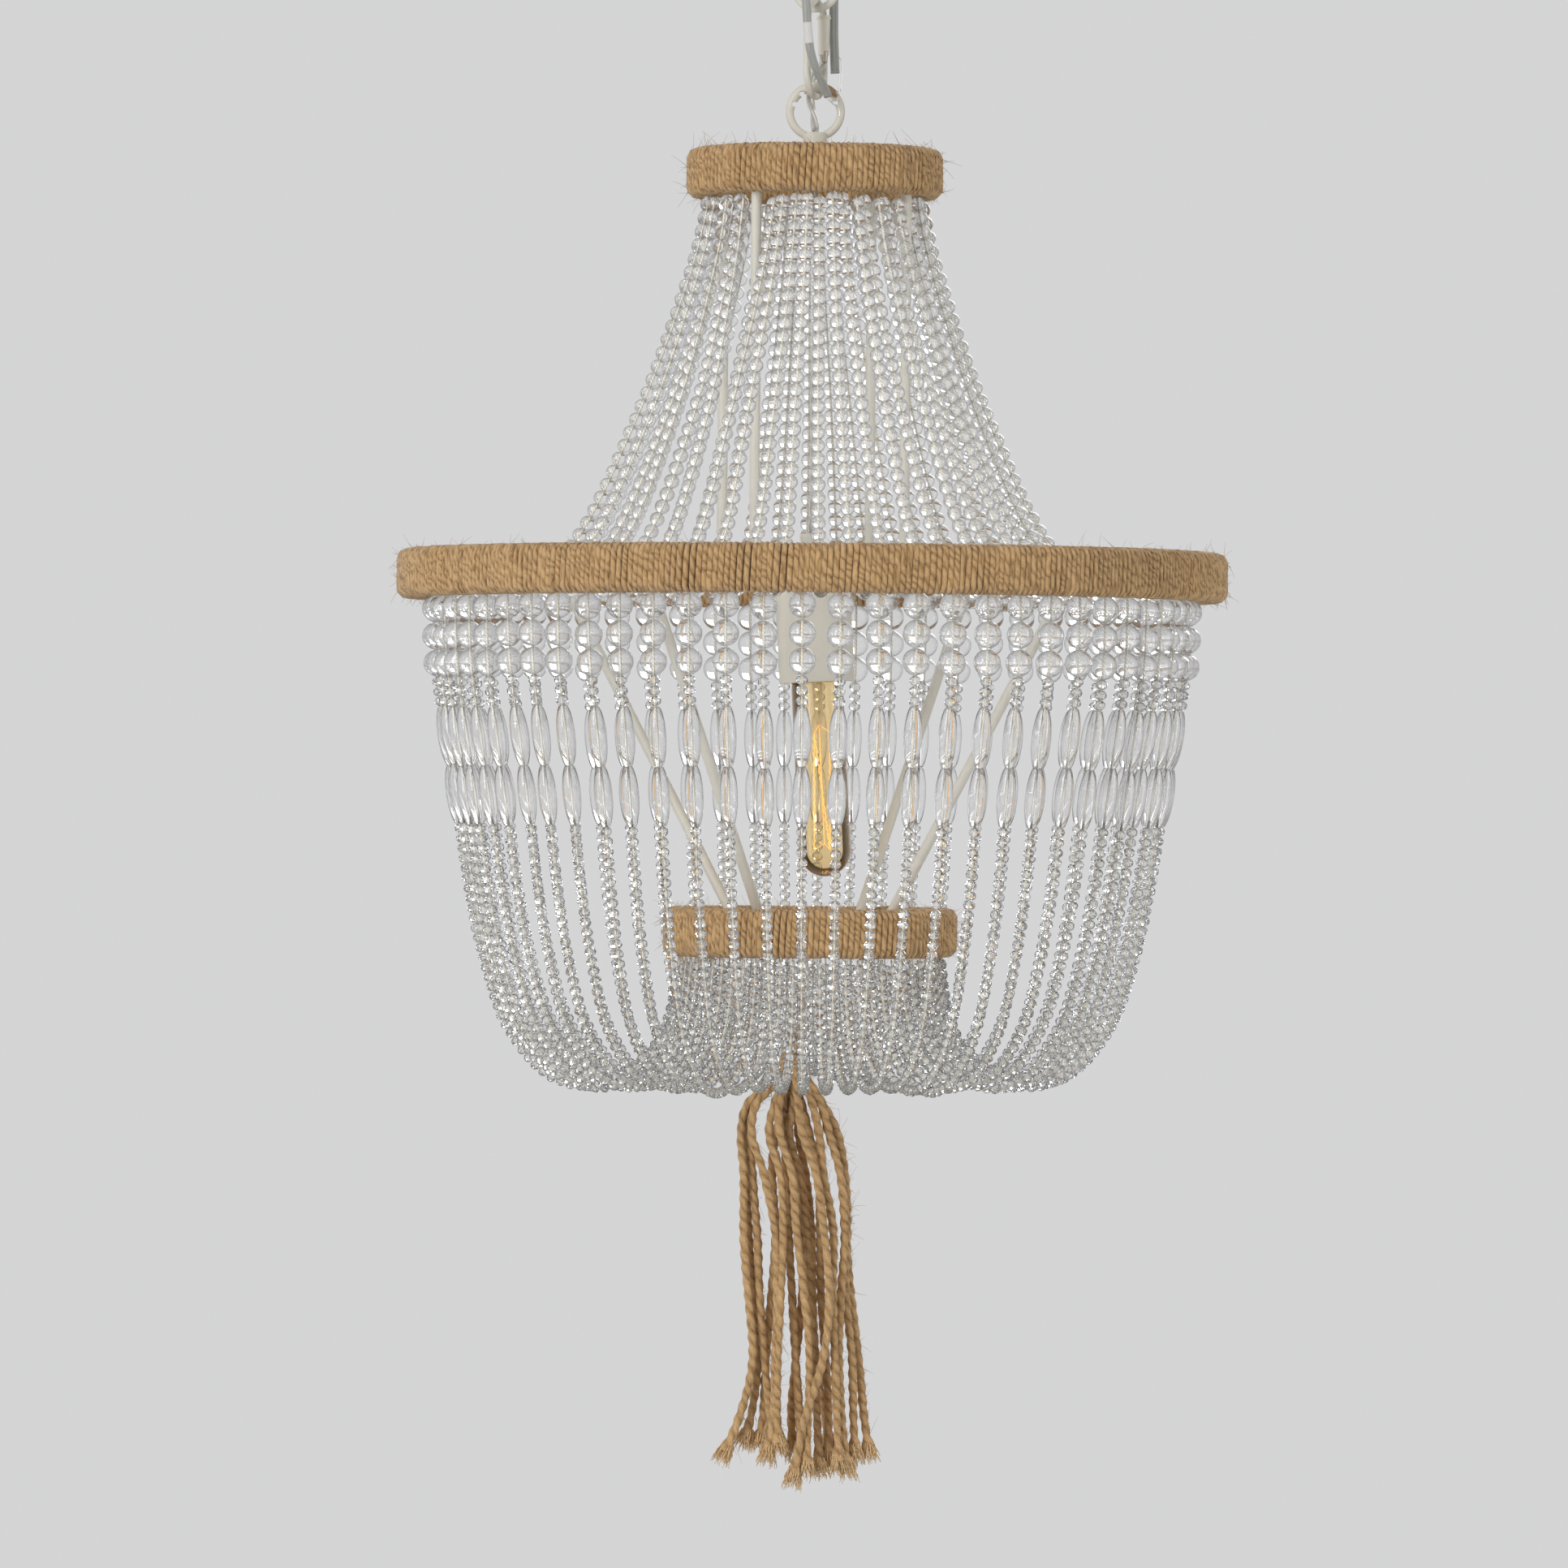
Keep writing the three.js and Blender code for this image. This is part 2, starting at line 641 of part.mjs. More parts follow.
/** The largest of the pieces that a cut leaves. */
function largestPiece(geometry) {
  const pieces = solidOf(geometry).decompose();
  return geometryOf(pieces.reduce((best, piece) => (piece.volume() > best.volume() ? piece : best)));
}

/** The lampholder's cup: a straight cup, open downwards, on the lamp's stem. */
function socketCup() {
  const top = -hubReach - cupHeadGap;
  const low = top - cupLength;
  const inner = cupRadius - cupWall;
  return lathe([
    [inner, low],
    [cupRadius, low],
    [cupRadius, top - cupWall],
    [cupRadius - cupWall, top],
    [stemRadius + fit, top],
    [stemRadius + fit, top - cupWall],
    [inner - cupWall, top - cupWall],
    [inner, top - 2 * cupWall],
  ], cupSides);
}

/** The insulating holder inside the cup, with a recess for the stem and a bore for the lamp's cap. */
function lampholder() {
  const top = -hubReach - cupHeadGap - cupWall - fit;
  const recess = -hubReach - stemReach - fit;
  const ceiling = recess - holderFloor;
  const bore = capRadius + 2 * fit;
  const low = ceiling - holderLength + holderShoulder;
  return lathe([
    [0, ceiling],
    [bore, ceiling],
    [bore, low],
    [holderRadius, low],
    [holderRadius, top - holderShoulder],
    [holderRadius - holderShoulder, top],
    [stemRadius + fit, top],
    [stemRadius + fit, recess],
    [0, recess],
  ], cupSides);
}

/** Height of the lamp cap's tip, under the pivot. */
function capTop() {
  return -hubReach - stemReach - fit - holderFloor - fit;
}

/** The lamp's metal cap: contact tip, shell and rim. */
function bulbCap() {
  const tip = capTop();
  const shellTop = tip - capTipHeight;
  const low = shellTop - capLength;
  return lathe([
    [0, low],
    [capRadius - capRim / 2, low],
    [capRadius, low + capRim],
    [capRadius, shellTop - capRim],
    [capRadius - capRim, shellTop],
    [capTipRadius, tip - capTipHeight / 2],
    [capTipRadius, tip],
    [0, tip],
  ], roundSides);
}

/** The tubular glass, open at the neck and round at the end. */
function bulbGlass() {
  const neckTop = capTop() - capTipHeight - capLength - fit;
  const shoulder = neckTop - bulbNeckLength;
  const endCentre = bulbRadius - bulbEndDrop;
  const dome = (radius) => [...Array(bulbEndSteps).keys()].map((i) => {
    const angle = (Math.PI / 2) * (i / bulbEndSteps);
    return [radius * Math.sin(angle), endCentre - radius * Math.cos(angle)];
  });
  const inner = bulbRadius - bulbWall;
  return lathe([
    ...dome(bulbRadius),
    [bulbRadius, endCentre],
    [bulbRadius, shoulder],
    [bulbNeckRadius, neckTop],
    [bulbNeckRadius - bulbWall, neckTop],
    [inner, shoulder],
    [inner, endCentre],
    ...dome(inner).reverse(),
  ], roundSides);
}

/** The glass stem with the filament's long hairpins. */
function filament() {
  const top = capTop() - capTipHeight - capLength - fit;
  const stemLow = top - filamentStemLength;
  const pillar = disc(filamentStemRadius, stemLow, top, smallSides);
  const points = [new THREE.Vector3(0, 0, stemLow + overrun)];
  for (let i = 0; i < 2 * filamentLoops; i += 1) {
    const angle = (180 * i) / filamentLoops;
    const down = Math.floor((i + 1) / 2) % 2 === 1;
    points.push(around(angle, filamentSpread, stemLow - (down ? filamentReach : filamentStemRadius)));
  }
  const wires = points.slice(1).map((point, i) => bar(points[i], point, filamentRadius, strandSides));
  const joints = points.slice(1).map((point) => {
    const bead = new THREE.OctahedronGeometry(2 * filamentRadius);
    return bead.translate(...point);
  });
  return join([pillar, ...wires, ...joints]);
}

/** Tie band that the strands of one quarter hang from, under or inside a ring. */
function tieBand({ inner, width, z, inset }, startAngle, segments) {
  const stations = [];
  for (let i = 0; i <= segments; i += 1) {
    const angle = startAngle + inset + ((360 / armCount - 2 * inset) * i) / segments;
    stations.push([
      around(angle, inner, z - tieHeight),
      around(angle, inner + width, z - tieHeight),
      around(angle, inner + width, z),
      around(angle, inner, z),
    ]);
  }
  const positions = stations.flat().flatMap((point) => [...point]);
  const faces = [0, 1, 2, 0, 2, 3];
  const last = 4 * segments;
  faces.push(last, last + 2, last + 1, last, last + 3, last + 2);
  for (let i = 0; i < segments; i += 1) {
    for (let j = 0; j < 4; j += 1) {
      const a = 4 * i + j;
      const b = 4 * i + ((j + 1) % 4);
      faces.push(a, a + 4, b, b, a + 4, b + 4);
    }
  }
  const geometry = new THREE.BufferGeometry();
  geometry.setAttribute('position', new THREE.Float32BufferAttribute(positions, 3));
  geometry.setIndex(faces);
  return geometry;
}

/** One upper strand's stations, from the top ring to the middle ring. */
function upperStrand(topAngle, lowAngle, layer) {
  const startRadius = upperHangRadius + (layer - 0.5) * upperStagger;
  const startZ = topRingZ - ringHeight / 2 - fit - tieHeight / 2;
  const lowZ = midRingZ - upperSag;
  const endRadius = innerRadius(midRingRadius) * flatShare(largeRingSegments) - upperBead / 2 - fit;
  const route = upperRouteShares.map(([r, z]) => {
    const settle = Math.min(2 * z, 1);
    return around(
      topAngle + (lowAngle - topAngle) * settle,
      startRadius + (endRadius - startRadius) * r,
      startZ + (lowZ - startZ) * z,
    );
  });
  const curve = new THREE.CatmullRomCurve3(route, false, 'centripetal');
  const radius = upperBead / Math.sqrt(3);
  const centres = curve.getSpacedPoints(upperSteps);
  return centres.map((centre, i) => ({ centre, radius: i ? radius : radius / 2 }));
}

/** The direction along the ring at an angle, which a strand's tube is flat to. */
function alongRing(angle) {
  return new THREE.Vector3(-Math.sin(angle * degree), Math.cos(angle * degree), 0);
}

/** One quarter of the upper curtain. */
function upperCurtain(startAngle) {
  const count = upperStrandCount / armCount;
  const quarter = 360 / armCount;
  const hang = topRingZ - ringHeight / 2 - fit;
  const strands = [];
  for (let i = 0; i < count; i += 1) {
    const share = (i + 0.5) / count;
    const topAngle = startAngle + upperGapAngle + (quarter - 2 * upperGapAngle) * share;
    const lowAngle = startAngle + quarter * share;
    const across = alongRing(lowAngle).negate();
    strands.push(sweep(upperStrand(topAngle, lowAngle, i % 2), across, strandSides, false));
  }
  const inner = upperHangRadius - tieWidth / 2;
  const tie = { inner, width: tieWidth, z: hang, inset: upperTieInset };
  return join([tieBand(tie, startAngle, count / 2), ...strands]);
}

/** Length and radius pairs along a lower strand, from its tie through its kinds of beads. */
function beadRuns() {
  const runs = [[0, threadRadius]];
  let length = threadLead;
  for (let i = 0; i < roundBeadCount; i += 1) {
    runs.push([length + roundBead / 2, roundBead / 2]);
    length += roundBead + roundBeadGap;
    runs.push([length, i < roundBeadCount - 1 ? threadRadius : facetBead / 2]);
  }
  length += spacerRun;
  for (let i = 0; i < ovalCount; i += 1) {
    runs.push([length, facetBead / 2]);
    runs.push([length + ovalLength / 2, ovalBead / 2]);
    length += ovalLength;
  }
  runs.push([length, facetBead / 2]);
  return runs;
}

/** The route of a lower strand at an angle, down, in, and up to the bottom ring. */
function lowerRoute(angle) {
  const startZ = midRingZ - lowerHangDrop;
  const lowZ = midRingZ - lowerDrop;
  const endZ = bottomRingZ - ringHeight / 2 - strandEndGap;
  const fall = lowerFallShares.map(([r, z]) => around(
    angle,
    lowerHangRadius + (lowerTurnRadius - lowerHangRadius) * r,
    startZ + (lowZ - startZ) * z,
  ));
  const rise = lowerRiseShares.map(([r, z]) => around(
    angle,
    lowerTurnRadius + (lowerEndRadius - lowerTurnRadius) * r,
    endZ + (lowZ - endZ) * z,
  ));
  return new THREE.CatmullRomCurve3([...fall, ...rise], false, 'centripetal');
}

/** One lower strand's stations: swelling at each large bead, then an even run of small ones. */
function lowerStrand(angle) {
  const curve = lowerRoute(angle);
  const total = curve.getLength();
  const runs = beadRuns();
  const chainStart = runs.at(-1)[0];
  for (const share of chainStationShares) {
    runs.push([chainStart + (total - chainStart) * share, facetBead / 2]);
  }
  const widen = 2 / Math.sqrt(3);
  return runs.map(([length, radius]) => ({
    centre: curve.getPointAt(Math.min(length / total, 1)),
    radius: radius * widen,
  }));
}

/** One quarter of the lower curtain. */
function lowerCurtain(startAngle) {
  const count = lowerStrandCount / armCount;
  const strands = [];
  for (let i = 0; i < count; i += 1) {
    const angle = startAngle + ((i + 0.5) * 360) / lowerStrandCount;
    strands.push(sweep(lowerStrand(angle), alongRing(angle), strandSides, false));
  }
  const z = midRingZ - lowerHangDrop + tieHeight / 2;
  const inner = lowerTieOuter - lowerTieWidth;
  const tie = { inner, width: lowerTieWidth, z, inset: lowerTieInset };
  return join([tieBand(tie, startAngle, count / 2), ...strands]);
}

/** The small turned rod under the bottom ring's hub, with a rim. */
function finial() {
  const top = bottomRingZ - hubReach - fit;
  const rim = finialZ + finialRimRise;
  return lathe([
    [0, finialZ],
    [finialRadius, finialZ],
    [finialRadius, rim],
    [finialRimRadius, rim],
    [finialRimRadius, rim + finialRimHeight],
    [finialRadius, rim + finialRimHeight],
    [finialRadius, top],
    [0, top],
  ], smallSides).translate(finialOffset, 0, 0);
}

/** The rope between the finial and the tassel's knot. */
function tasselRopeShape() {
  const top = new THREE.Vector3(finialOffset, 0, finialZ - swingRoom);
  const low = new THREE.Vector3(tasselOffset[0], tasselOffset[1], knotZ + knotHeight / 2 + ropeEndGap);
  const stations = [
    { centre: top, radius: ropeNeckRadius },
    { centre: top.clone().lerp(low, ropeNeckShare), radius: tasselRope / 2 },
    { centre: low, radius: tasselRope / 2 },
  ];
  return sweep(stations, new THREE.Vector3(0, 1, 0), smallSides, false);
}

/** The wound knot that gathers the tassel's cords. */
function tasselKnot() {
  const low = knotZ - knotHeight / 2;
  return lathe([
    [0, low],
    [knotRadius * knotShares[0], low],
    [knotRadius, low + knotHeight * knotShares[1]],
    [knotRadius * knotShares[0], low + knotHeight],
    [0, low + knotHeight],
  ], smallSides).translate(...tasselOffset, 0);
}

/** The tassel's free cords, joined where they leave the knot. */
function tasselCordsShape() {
  const top = knotZ - knotHeight / 2 - fit;
  const gather = disc(knotRadius * gatherShare, top - gatherHeight, top, smallSides);
  const cords = tasselCords.map(({ x, y, end }) => {
    const spread = (i) => y * tasselDepthShares[Math.min(i, tasselDepthShares.length - 1)];
    const route = x.map((across, i) => [across, spread(i), top - tasselLevels[i]]);
    route.push([end[0], y, top - end[1]]);
    const centres = curveThrough(route).getSpacedPoints(tasselSteps);
    const radius = (i) => (i < tasselSteps ? tasselCord : tasselFlare) / 2;
    const stations = centres.map((centre, i) => ({ centre, radius: radius(i) }));
    return sweep(stations, new THREE.Vector3(0, 1, 0), strandSides, false);
  });
  return join([gather, ...cords]).translate(...tasselOffset, 0);
}

/** A material for one kind of surface. */
function finish(color, roughness, metalness) {
  return () => new THREE.MeshStandardMaterial({ color, roughness, metalness });
}

const paintedIron = finish('#e1dccd', 0.45, 0.1);
const jute = finish('#c8965f', 0.95, 0);
const bareIron = finish('#8a8780', 0.5, 0.8);
const bentWood = finish('#b08d62', 0.7, 0);
const clearBead = finish('#dcdce0', 0.08, 0);
const amberGlass = finish('#c98a3c', 0.05, 0);
const brassShell = finish('#b8a070', 0.35, 0.9);
const cream = finish('#e6dcc4', 0.5, 0);
const rubber = finish('#d8d4c8', 0.7, 0);
const cordSkin = finish('#a8a89c', 0.4, 0);
const glowWire = finish('#ff9a3c', 0.4, 0.2);

/** A named piece with a finish, at a place. */
function piece(name, geometry, dress) {
  const mesh = new THREE.Mesh(geometry, dress());
  mesh.name = name;
  return mesh;
}

/** Everything that stays at the ceiling. */
function ceilingGroup() {
  const group = new THREE.Group();
  group.add(piece('mounting_strap', mountingStrap(), bareIron));
  for (const [side, sign] of [['left', -1], ['right', 1]]) {
    const screw = piece(`strap_screw_${side}`, strapScrew(), bareIron);
    screw.position.x = (sign * strapScrewSpacing) / 2;
    group.add(screw);
  }
  group.add(piece('canopy', canopy(), paintedIron));
  const stemLow = canopyNutZ - canopyNutHeight - loopBossLength;
  group.add(piece('canopy_stem', stem(stemLow, -strapThickness - fit), brassShell));
  const nut = roundNut(canopyNutRadius, canopyNutZ - canopyNutHeight, canopyNutZ);
  group.add(piece('canopy_nut', nut, paintedIron));
  const loop = piece('canopy_loop', castLoop(false), paintedIron);
  loop.rotation.set(Math.PI, 0, (90 - linkTurn) * degree, 'ZYX');
  loop.position.z = canopyLoopZ;
  group.add(loop);
  const cords = [['supply', supplyUpperRoute, supplyWidth], ['second', secondUpperRoute, secondWidth]];
  for (const [name, route, width] of cords) {
    const [x, y] = route[0];
    const ring = piece(`${name}_cord_grommet`, grommet(width), rubber);
    ring.position.set(x, y, 0);
    group.add(ring);
    group.add(piece(`${name}_wire_cap`, wireCap(route), cream));
    group.add(piece(`${name}_cord_upper`, cordAlong(route, width, cordSteps, cordSides), cordSkin));
  }
  return group;
}

/** The two chain links and what hangs along them. */
function chainGroup() {
  const group = new THREE.Group();
  const upper = piece('chain_link_upper', chainLink(), paintedIron);
  upper.rotation.z = -linkTurn * degree;
  upper.position.z = upperLinkTop;
  const lower = piece('chain_link_lower', chainLink(), paintedIron);
  lower.rotation.z = (90 - linkTurn) * degree;
  lower.position.z = lowerLinkTop;
  group.add(upper, lower);
  group.add(piece('wire_connector', wireConnector(), cream));
  for (const [name, route, width] of [
    ['supply_cord_lower', supplyLowerRoute, supplyWidth],
    ['second_cord_lower', secondLowerRoute, secondWidth],
    ['lead_cord_upper', leadUpperRoute, leadWidth],
  ]) {
    group.add(piece(name, cordAlong(route, width, cordSteps, cordSides), cordSkin));
  }
  return group;
}

/** The crimped sleeve on the lead cord's upper end. */
function wireConnector() {
  const half = connectorLength / 2;
  return lathe([
    [0, -half],
    [connectorRadius, -half],
    [connectorRadius + connectorRim, half - connectorRimHeight],
    [connectorRadius + 2 * connectorRim, half - connectorRimHeight],
    [connectorRadius + 2 * connectorRim, half],
    [0, half],
  ], smallSides).translate(...connectorPlace);
}

/** The rings, hubs and rods that carry everything else. */
function frameGroup() {
  const group = new THREE.Group();
  const loop = piece('fixture_loop', castLoop(true), paintedIron);
  loop.position.z = lowerLoopZ;
  group.add(loop);
  const nutTop = topHubBottom - fit;
  const stemLow = nutTop - lockNutHeight - fit;
  group.add(piece('top_stem', stem(stemLow, topHubTop + loopBossLength), brassShell));
  group.add(piece('top_lock_nut', roundNut(lockNutRadius, nutTop - lockNutHeight, nutTop), brassShell));
  const hubs = [
    [topHubRadius, topHubBottom, topHubTop, stemRadius + fit],
    [midHubRadius, midRingZ - hubReach, midRingZ + hubReach, stemRadius + leanRoom],
    [bottomHubRadius, bottomRingZ - hubReach, bottomRingZ + hubReach, 0],
  ];
  for (const [i, ring] of rings.entries()) {
    const holes = armBars(ring, overrun, rodRadius + fit);
    if (i === 0) holes.push(...rodAngles.map(rodHole));
    group.add(piece(`${ring.name}_spider`, spider(ring, ...hubs[i]), paintedIron));
    group.add(piece(`${ring.name}_hoop`, hoop(ring), bentWood));
    group.add(piece(`${ring.name}_ring_wrap`, wrap(ring, holes), jute));
  }
  for (const [i, angle] of rodAngles.entries()) {
    group.add(piece(`upper_rod_${i + 1}`, upperRod(angle), paintedIron));
    group.add(piece(`lower_rod_${i + 1}`, lowerRod(angle), paintedIron));
  }
  group.add(piece('lead_cord', cordAlong(leadRoute, leadWidth, leadSteps, cordSides), cordSkin));
  group.add(piece('finial', finial(), paintedIron));
  return group;
}

/** The lamp, leaning about the middle hub. */
function lampGroup() {
  const group = new THREE.Group();
  group.position.copy(lampPivot);
  group.rotation.y = -lampLean * degree;
  const couplingLow = hubReach + cupHeadGap / 2;
  const couplingHigh = couplingLow + couplingHeight;
  const coupling = roundNut(couplingRadius + fit, couplingLow, couplingHigh);
  group.add(piece('socket_coupling', coupling, paintedIron));
  group.add(piece('socket_stem', stem(-hubReach - stemReach, couplingHigh - fit), brassShell));
  group.add(piece('socket_cup', socketCup(), cream));
  group.add(piece('lampholder', lampholder(), cream));
  group.add(piece('bulb_cap', bulbCap(), brassShell));
  group.add(piece('bulb_glass', bulbGlass(), amberGlass));
  group.add(piece('bulb_filament', filament(), glowWire));
  return group;
}

/** The two bead curtains, in quarters between the rods. */
function curtainGroup() {
  const group = new THREE.Group();
  for (const [i, angle] of rodAngles.entries()) {
    group.add(piece(`upper_curtain_${i + 1}`, upperCurtain(angle), clearBead));
    group.add(piece(`lower_curtain_${i + 1}`, lowerCurtain(angle), clearBead));
  }
  return group;
}

/** The tassel under the bottom ring. */
function tasselGroup() {
  const group = new THREE.Group();
  group.add(piece('tassel_rope', tasselRopeShape(), jute));
  group.add(piece('tassel_knot', tasselKnot(), jute));
  group.add(piece('tassel_cords', tasselCordsShape(), jute));
  return group;
}

const chandelier = new THREE.Group();
chandelier.add(ceilingGroup(), chainGroup(), frameGroup(), lampGroup(), curtainGroup(), tasselGroup());

export default chandelier;
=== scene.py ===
"""A beaded chandelier: twine-wrapped rings on a rod frame, two curtains of beads, a lamp and a tassel.

Metres, +Z up. The origin is the middle of the mounting strap's top face, which lies on the ceiling.
"""

import logging
import math
from dataclasses import dataclass, field
from enum import Enum
from typing import Callable, Optional, Sequence, Union

import bpy
import numpy as np
from mathutils import Matrix, Vector


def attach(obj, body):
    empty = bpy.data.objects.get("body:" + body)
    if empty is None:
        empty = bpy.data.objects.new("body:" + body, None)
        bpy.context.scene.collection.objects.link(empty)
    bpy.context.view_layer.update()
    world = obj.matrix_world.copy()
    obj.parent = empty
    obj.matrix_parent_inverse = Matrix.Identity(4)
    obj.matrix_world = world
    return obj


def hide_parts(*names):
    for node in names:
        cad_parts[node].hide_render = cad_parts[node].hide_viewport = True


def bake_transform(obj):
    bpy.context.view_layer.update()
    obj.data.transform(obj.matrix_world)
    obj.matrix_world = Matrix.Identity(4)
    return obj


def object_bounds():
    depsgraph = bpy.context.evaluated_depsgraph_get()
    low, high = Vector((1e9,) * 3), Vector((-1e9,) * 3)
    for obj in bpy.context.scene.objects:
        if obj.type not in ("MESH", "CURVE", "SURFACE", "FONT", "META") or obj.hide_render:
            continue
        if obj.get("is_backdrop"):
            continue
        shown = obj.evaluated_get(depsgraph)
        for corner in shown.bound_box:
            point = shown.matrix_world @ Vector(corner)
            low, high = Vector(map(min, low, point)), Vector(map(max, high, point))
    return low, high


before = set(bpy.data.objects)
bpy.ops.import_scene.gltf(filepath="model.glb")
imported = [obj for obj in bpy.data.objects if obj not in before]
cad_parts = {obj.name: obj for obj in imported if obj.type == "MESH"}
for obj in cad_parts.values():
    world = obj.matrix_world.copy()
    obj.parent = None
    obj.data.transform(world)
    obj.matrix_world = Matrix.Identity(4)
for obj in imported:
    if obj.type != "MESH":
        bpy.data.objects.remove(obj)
cad_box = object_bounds()

log = logging.getLogger("chandelier")

MM = 0.001
Colour = tuple[float, float, float]
Point = tuple[float, float, float]
Pairs = tuple[tuple[float, float], ...]
Array = np.ndarray
Piece = bpy.types.Object
Material = bpy.types.Material

LOOP_Z = -181.25 * MM
TOP_RING_Z = -218.95 * MM
MIDDLE_RING_Z = -461.55 * MM
BOTTOM_RING_Z = -675.85 * MM
ARM_ANGLES = tuple(-32.5 + 90 * i for i in range(4))
LINK_TURN = math.radians(22)
LAMP_LEAN = math.radians(3)
BORE_RADIUS = (4.8 + 0.3) * MM
CANOPY_EYE_Z = -52.9 * MM


class Body(Enum):
    """The bodies that pieces move with."""

    CEILING = "ceiling"
    UPPER_LINK = "link_upper"
    LOWER_LINK = "link_lower"
    FIXTURE = "fixture"
    BULB = "bulb"
    TASSEL = "tassel"


# Shader writing


class Signal:
    """A shader socket that sums and products can be written with."""

    def __init__(self, recipe: "Recipe", socket: bpy.types.NodeSocket) -> None:
        """Wraps a socket of a recipe's tree."""
        self.recipe = recipe
        self.socket = socket

    def _maths(self, operation: str, first: "Feed", second: "Feed") -> "Signal":
        """Adds one Math node and gives its result."""
        return self.recipe.signal("ShaderNodeMath", {"operation": operation}, {0: first, 1: second})

    def __add__(self, other: "Feed") -> "Signal":
        """The sum of two values."""
        return self._maths("ADD", self, other)

    def __radd__(self, other: "Feed") -> "Signal":
        """The sum with a number in front."""
        return self._maths("ADD", other, self)

    def __sub__(self, other: "Feed") -> "Signal":
        """The difference of two values."""
        return self._maths("SUBTRACT", self, other)

    def __rsub__(self, other: "Feed") -> "Signal":
        """The difference from a number."""
        return self._maths("SUBTRACT", other, self)

    def __mul__(self, other: "Feed") -> "Signal":
        """The product of two values."""
        return self._maths("MULTIPLY", self, other)

    def __rmul__(self, other: "Feed") -> "Signal":
        """The product with a number in front."""
        return self._maths("MULTIPLY", other, self)

    def __pow__(self, other: "Feed") -> "Signal":
        """The value raised to a power."""
        return self._maths("POWER", self, other)

    def larger(self, other: "Feed") -> "Signal":
        """The larger of two values."""
        return self._maths("MAXIMUM", self, other)

    def sine(self) -> "Signal":
        """The sine of the value, in radians."""
        return self.recipe.signal("ShaderNodeMath", {"operation": "SINE"}, {0: self})

    def size(self) -> "Signal":
        """The value without its sign."""
        return self.recipe.signal("ShaderNodeMath", {"operation": "ABSOLUTE"}, {0: self})


Feed = Union[Signal, float, int, Colour, tuple[float, ...]]
Settings = Optional[dict[str, object]]
Inputs = Optional[dict[Union[str, int], Feed]]


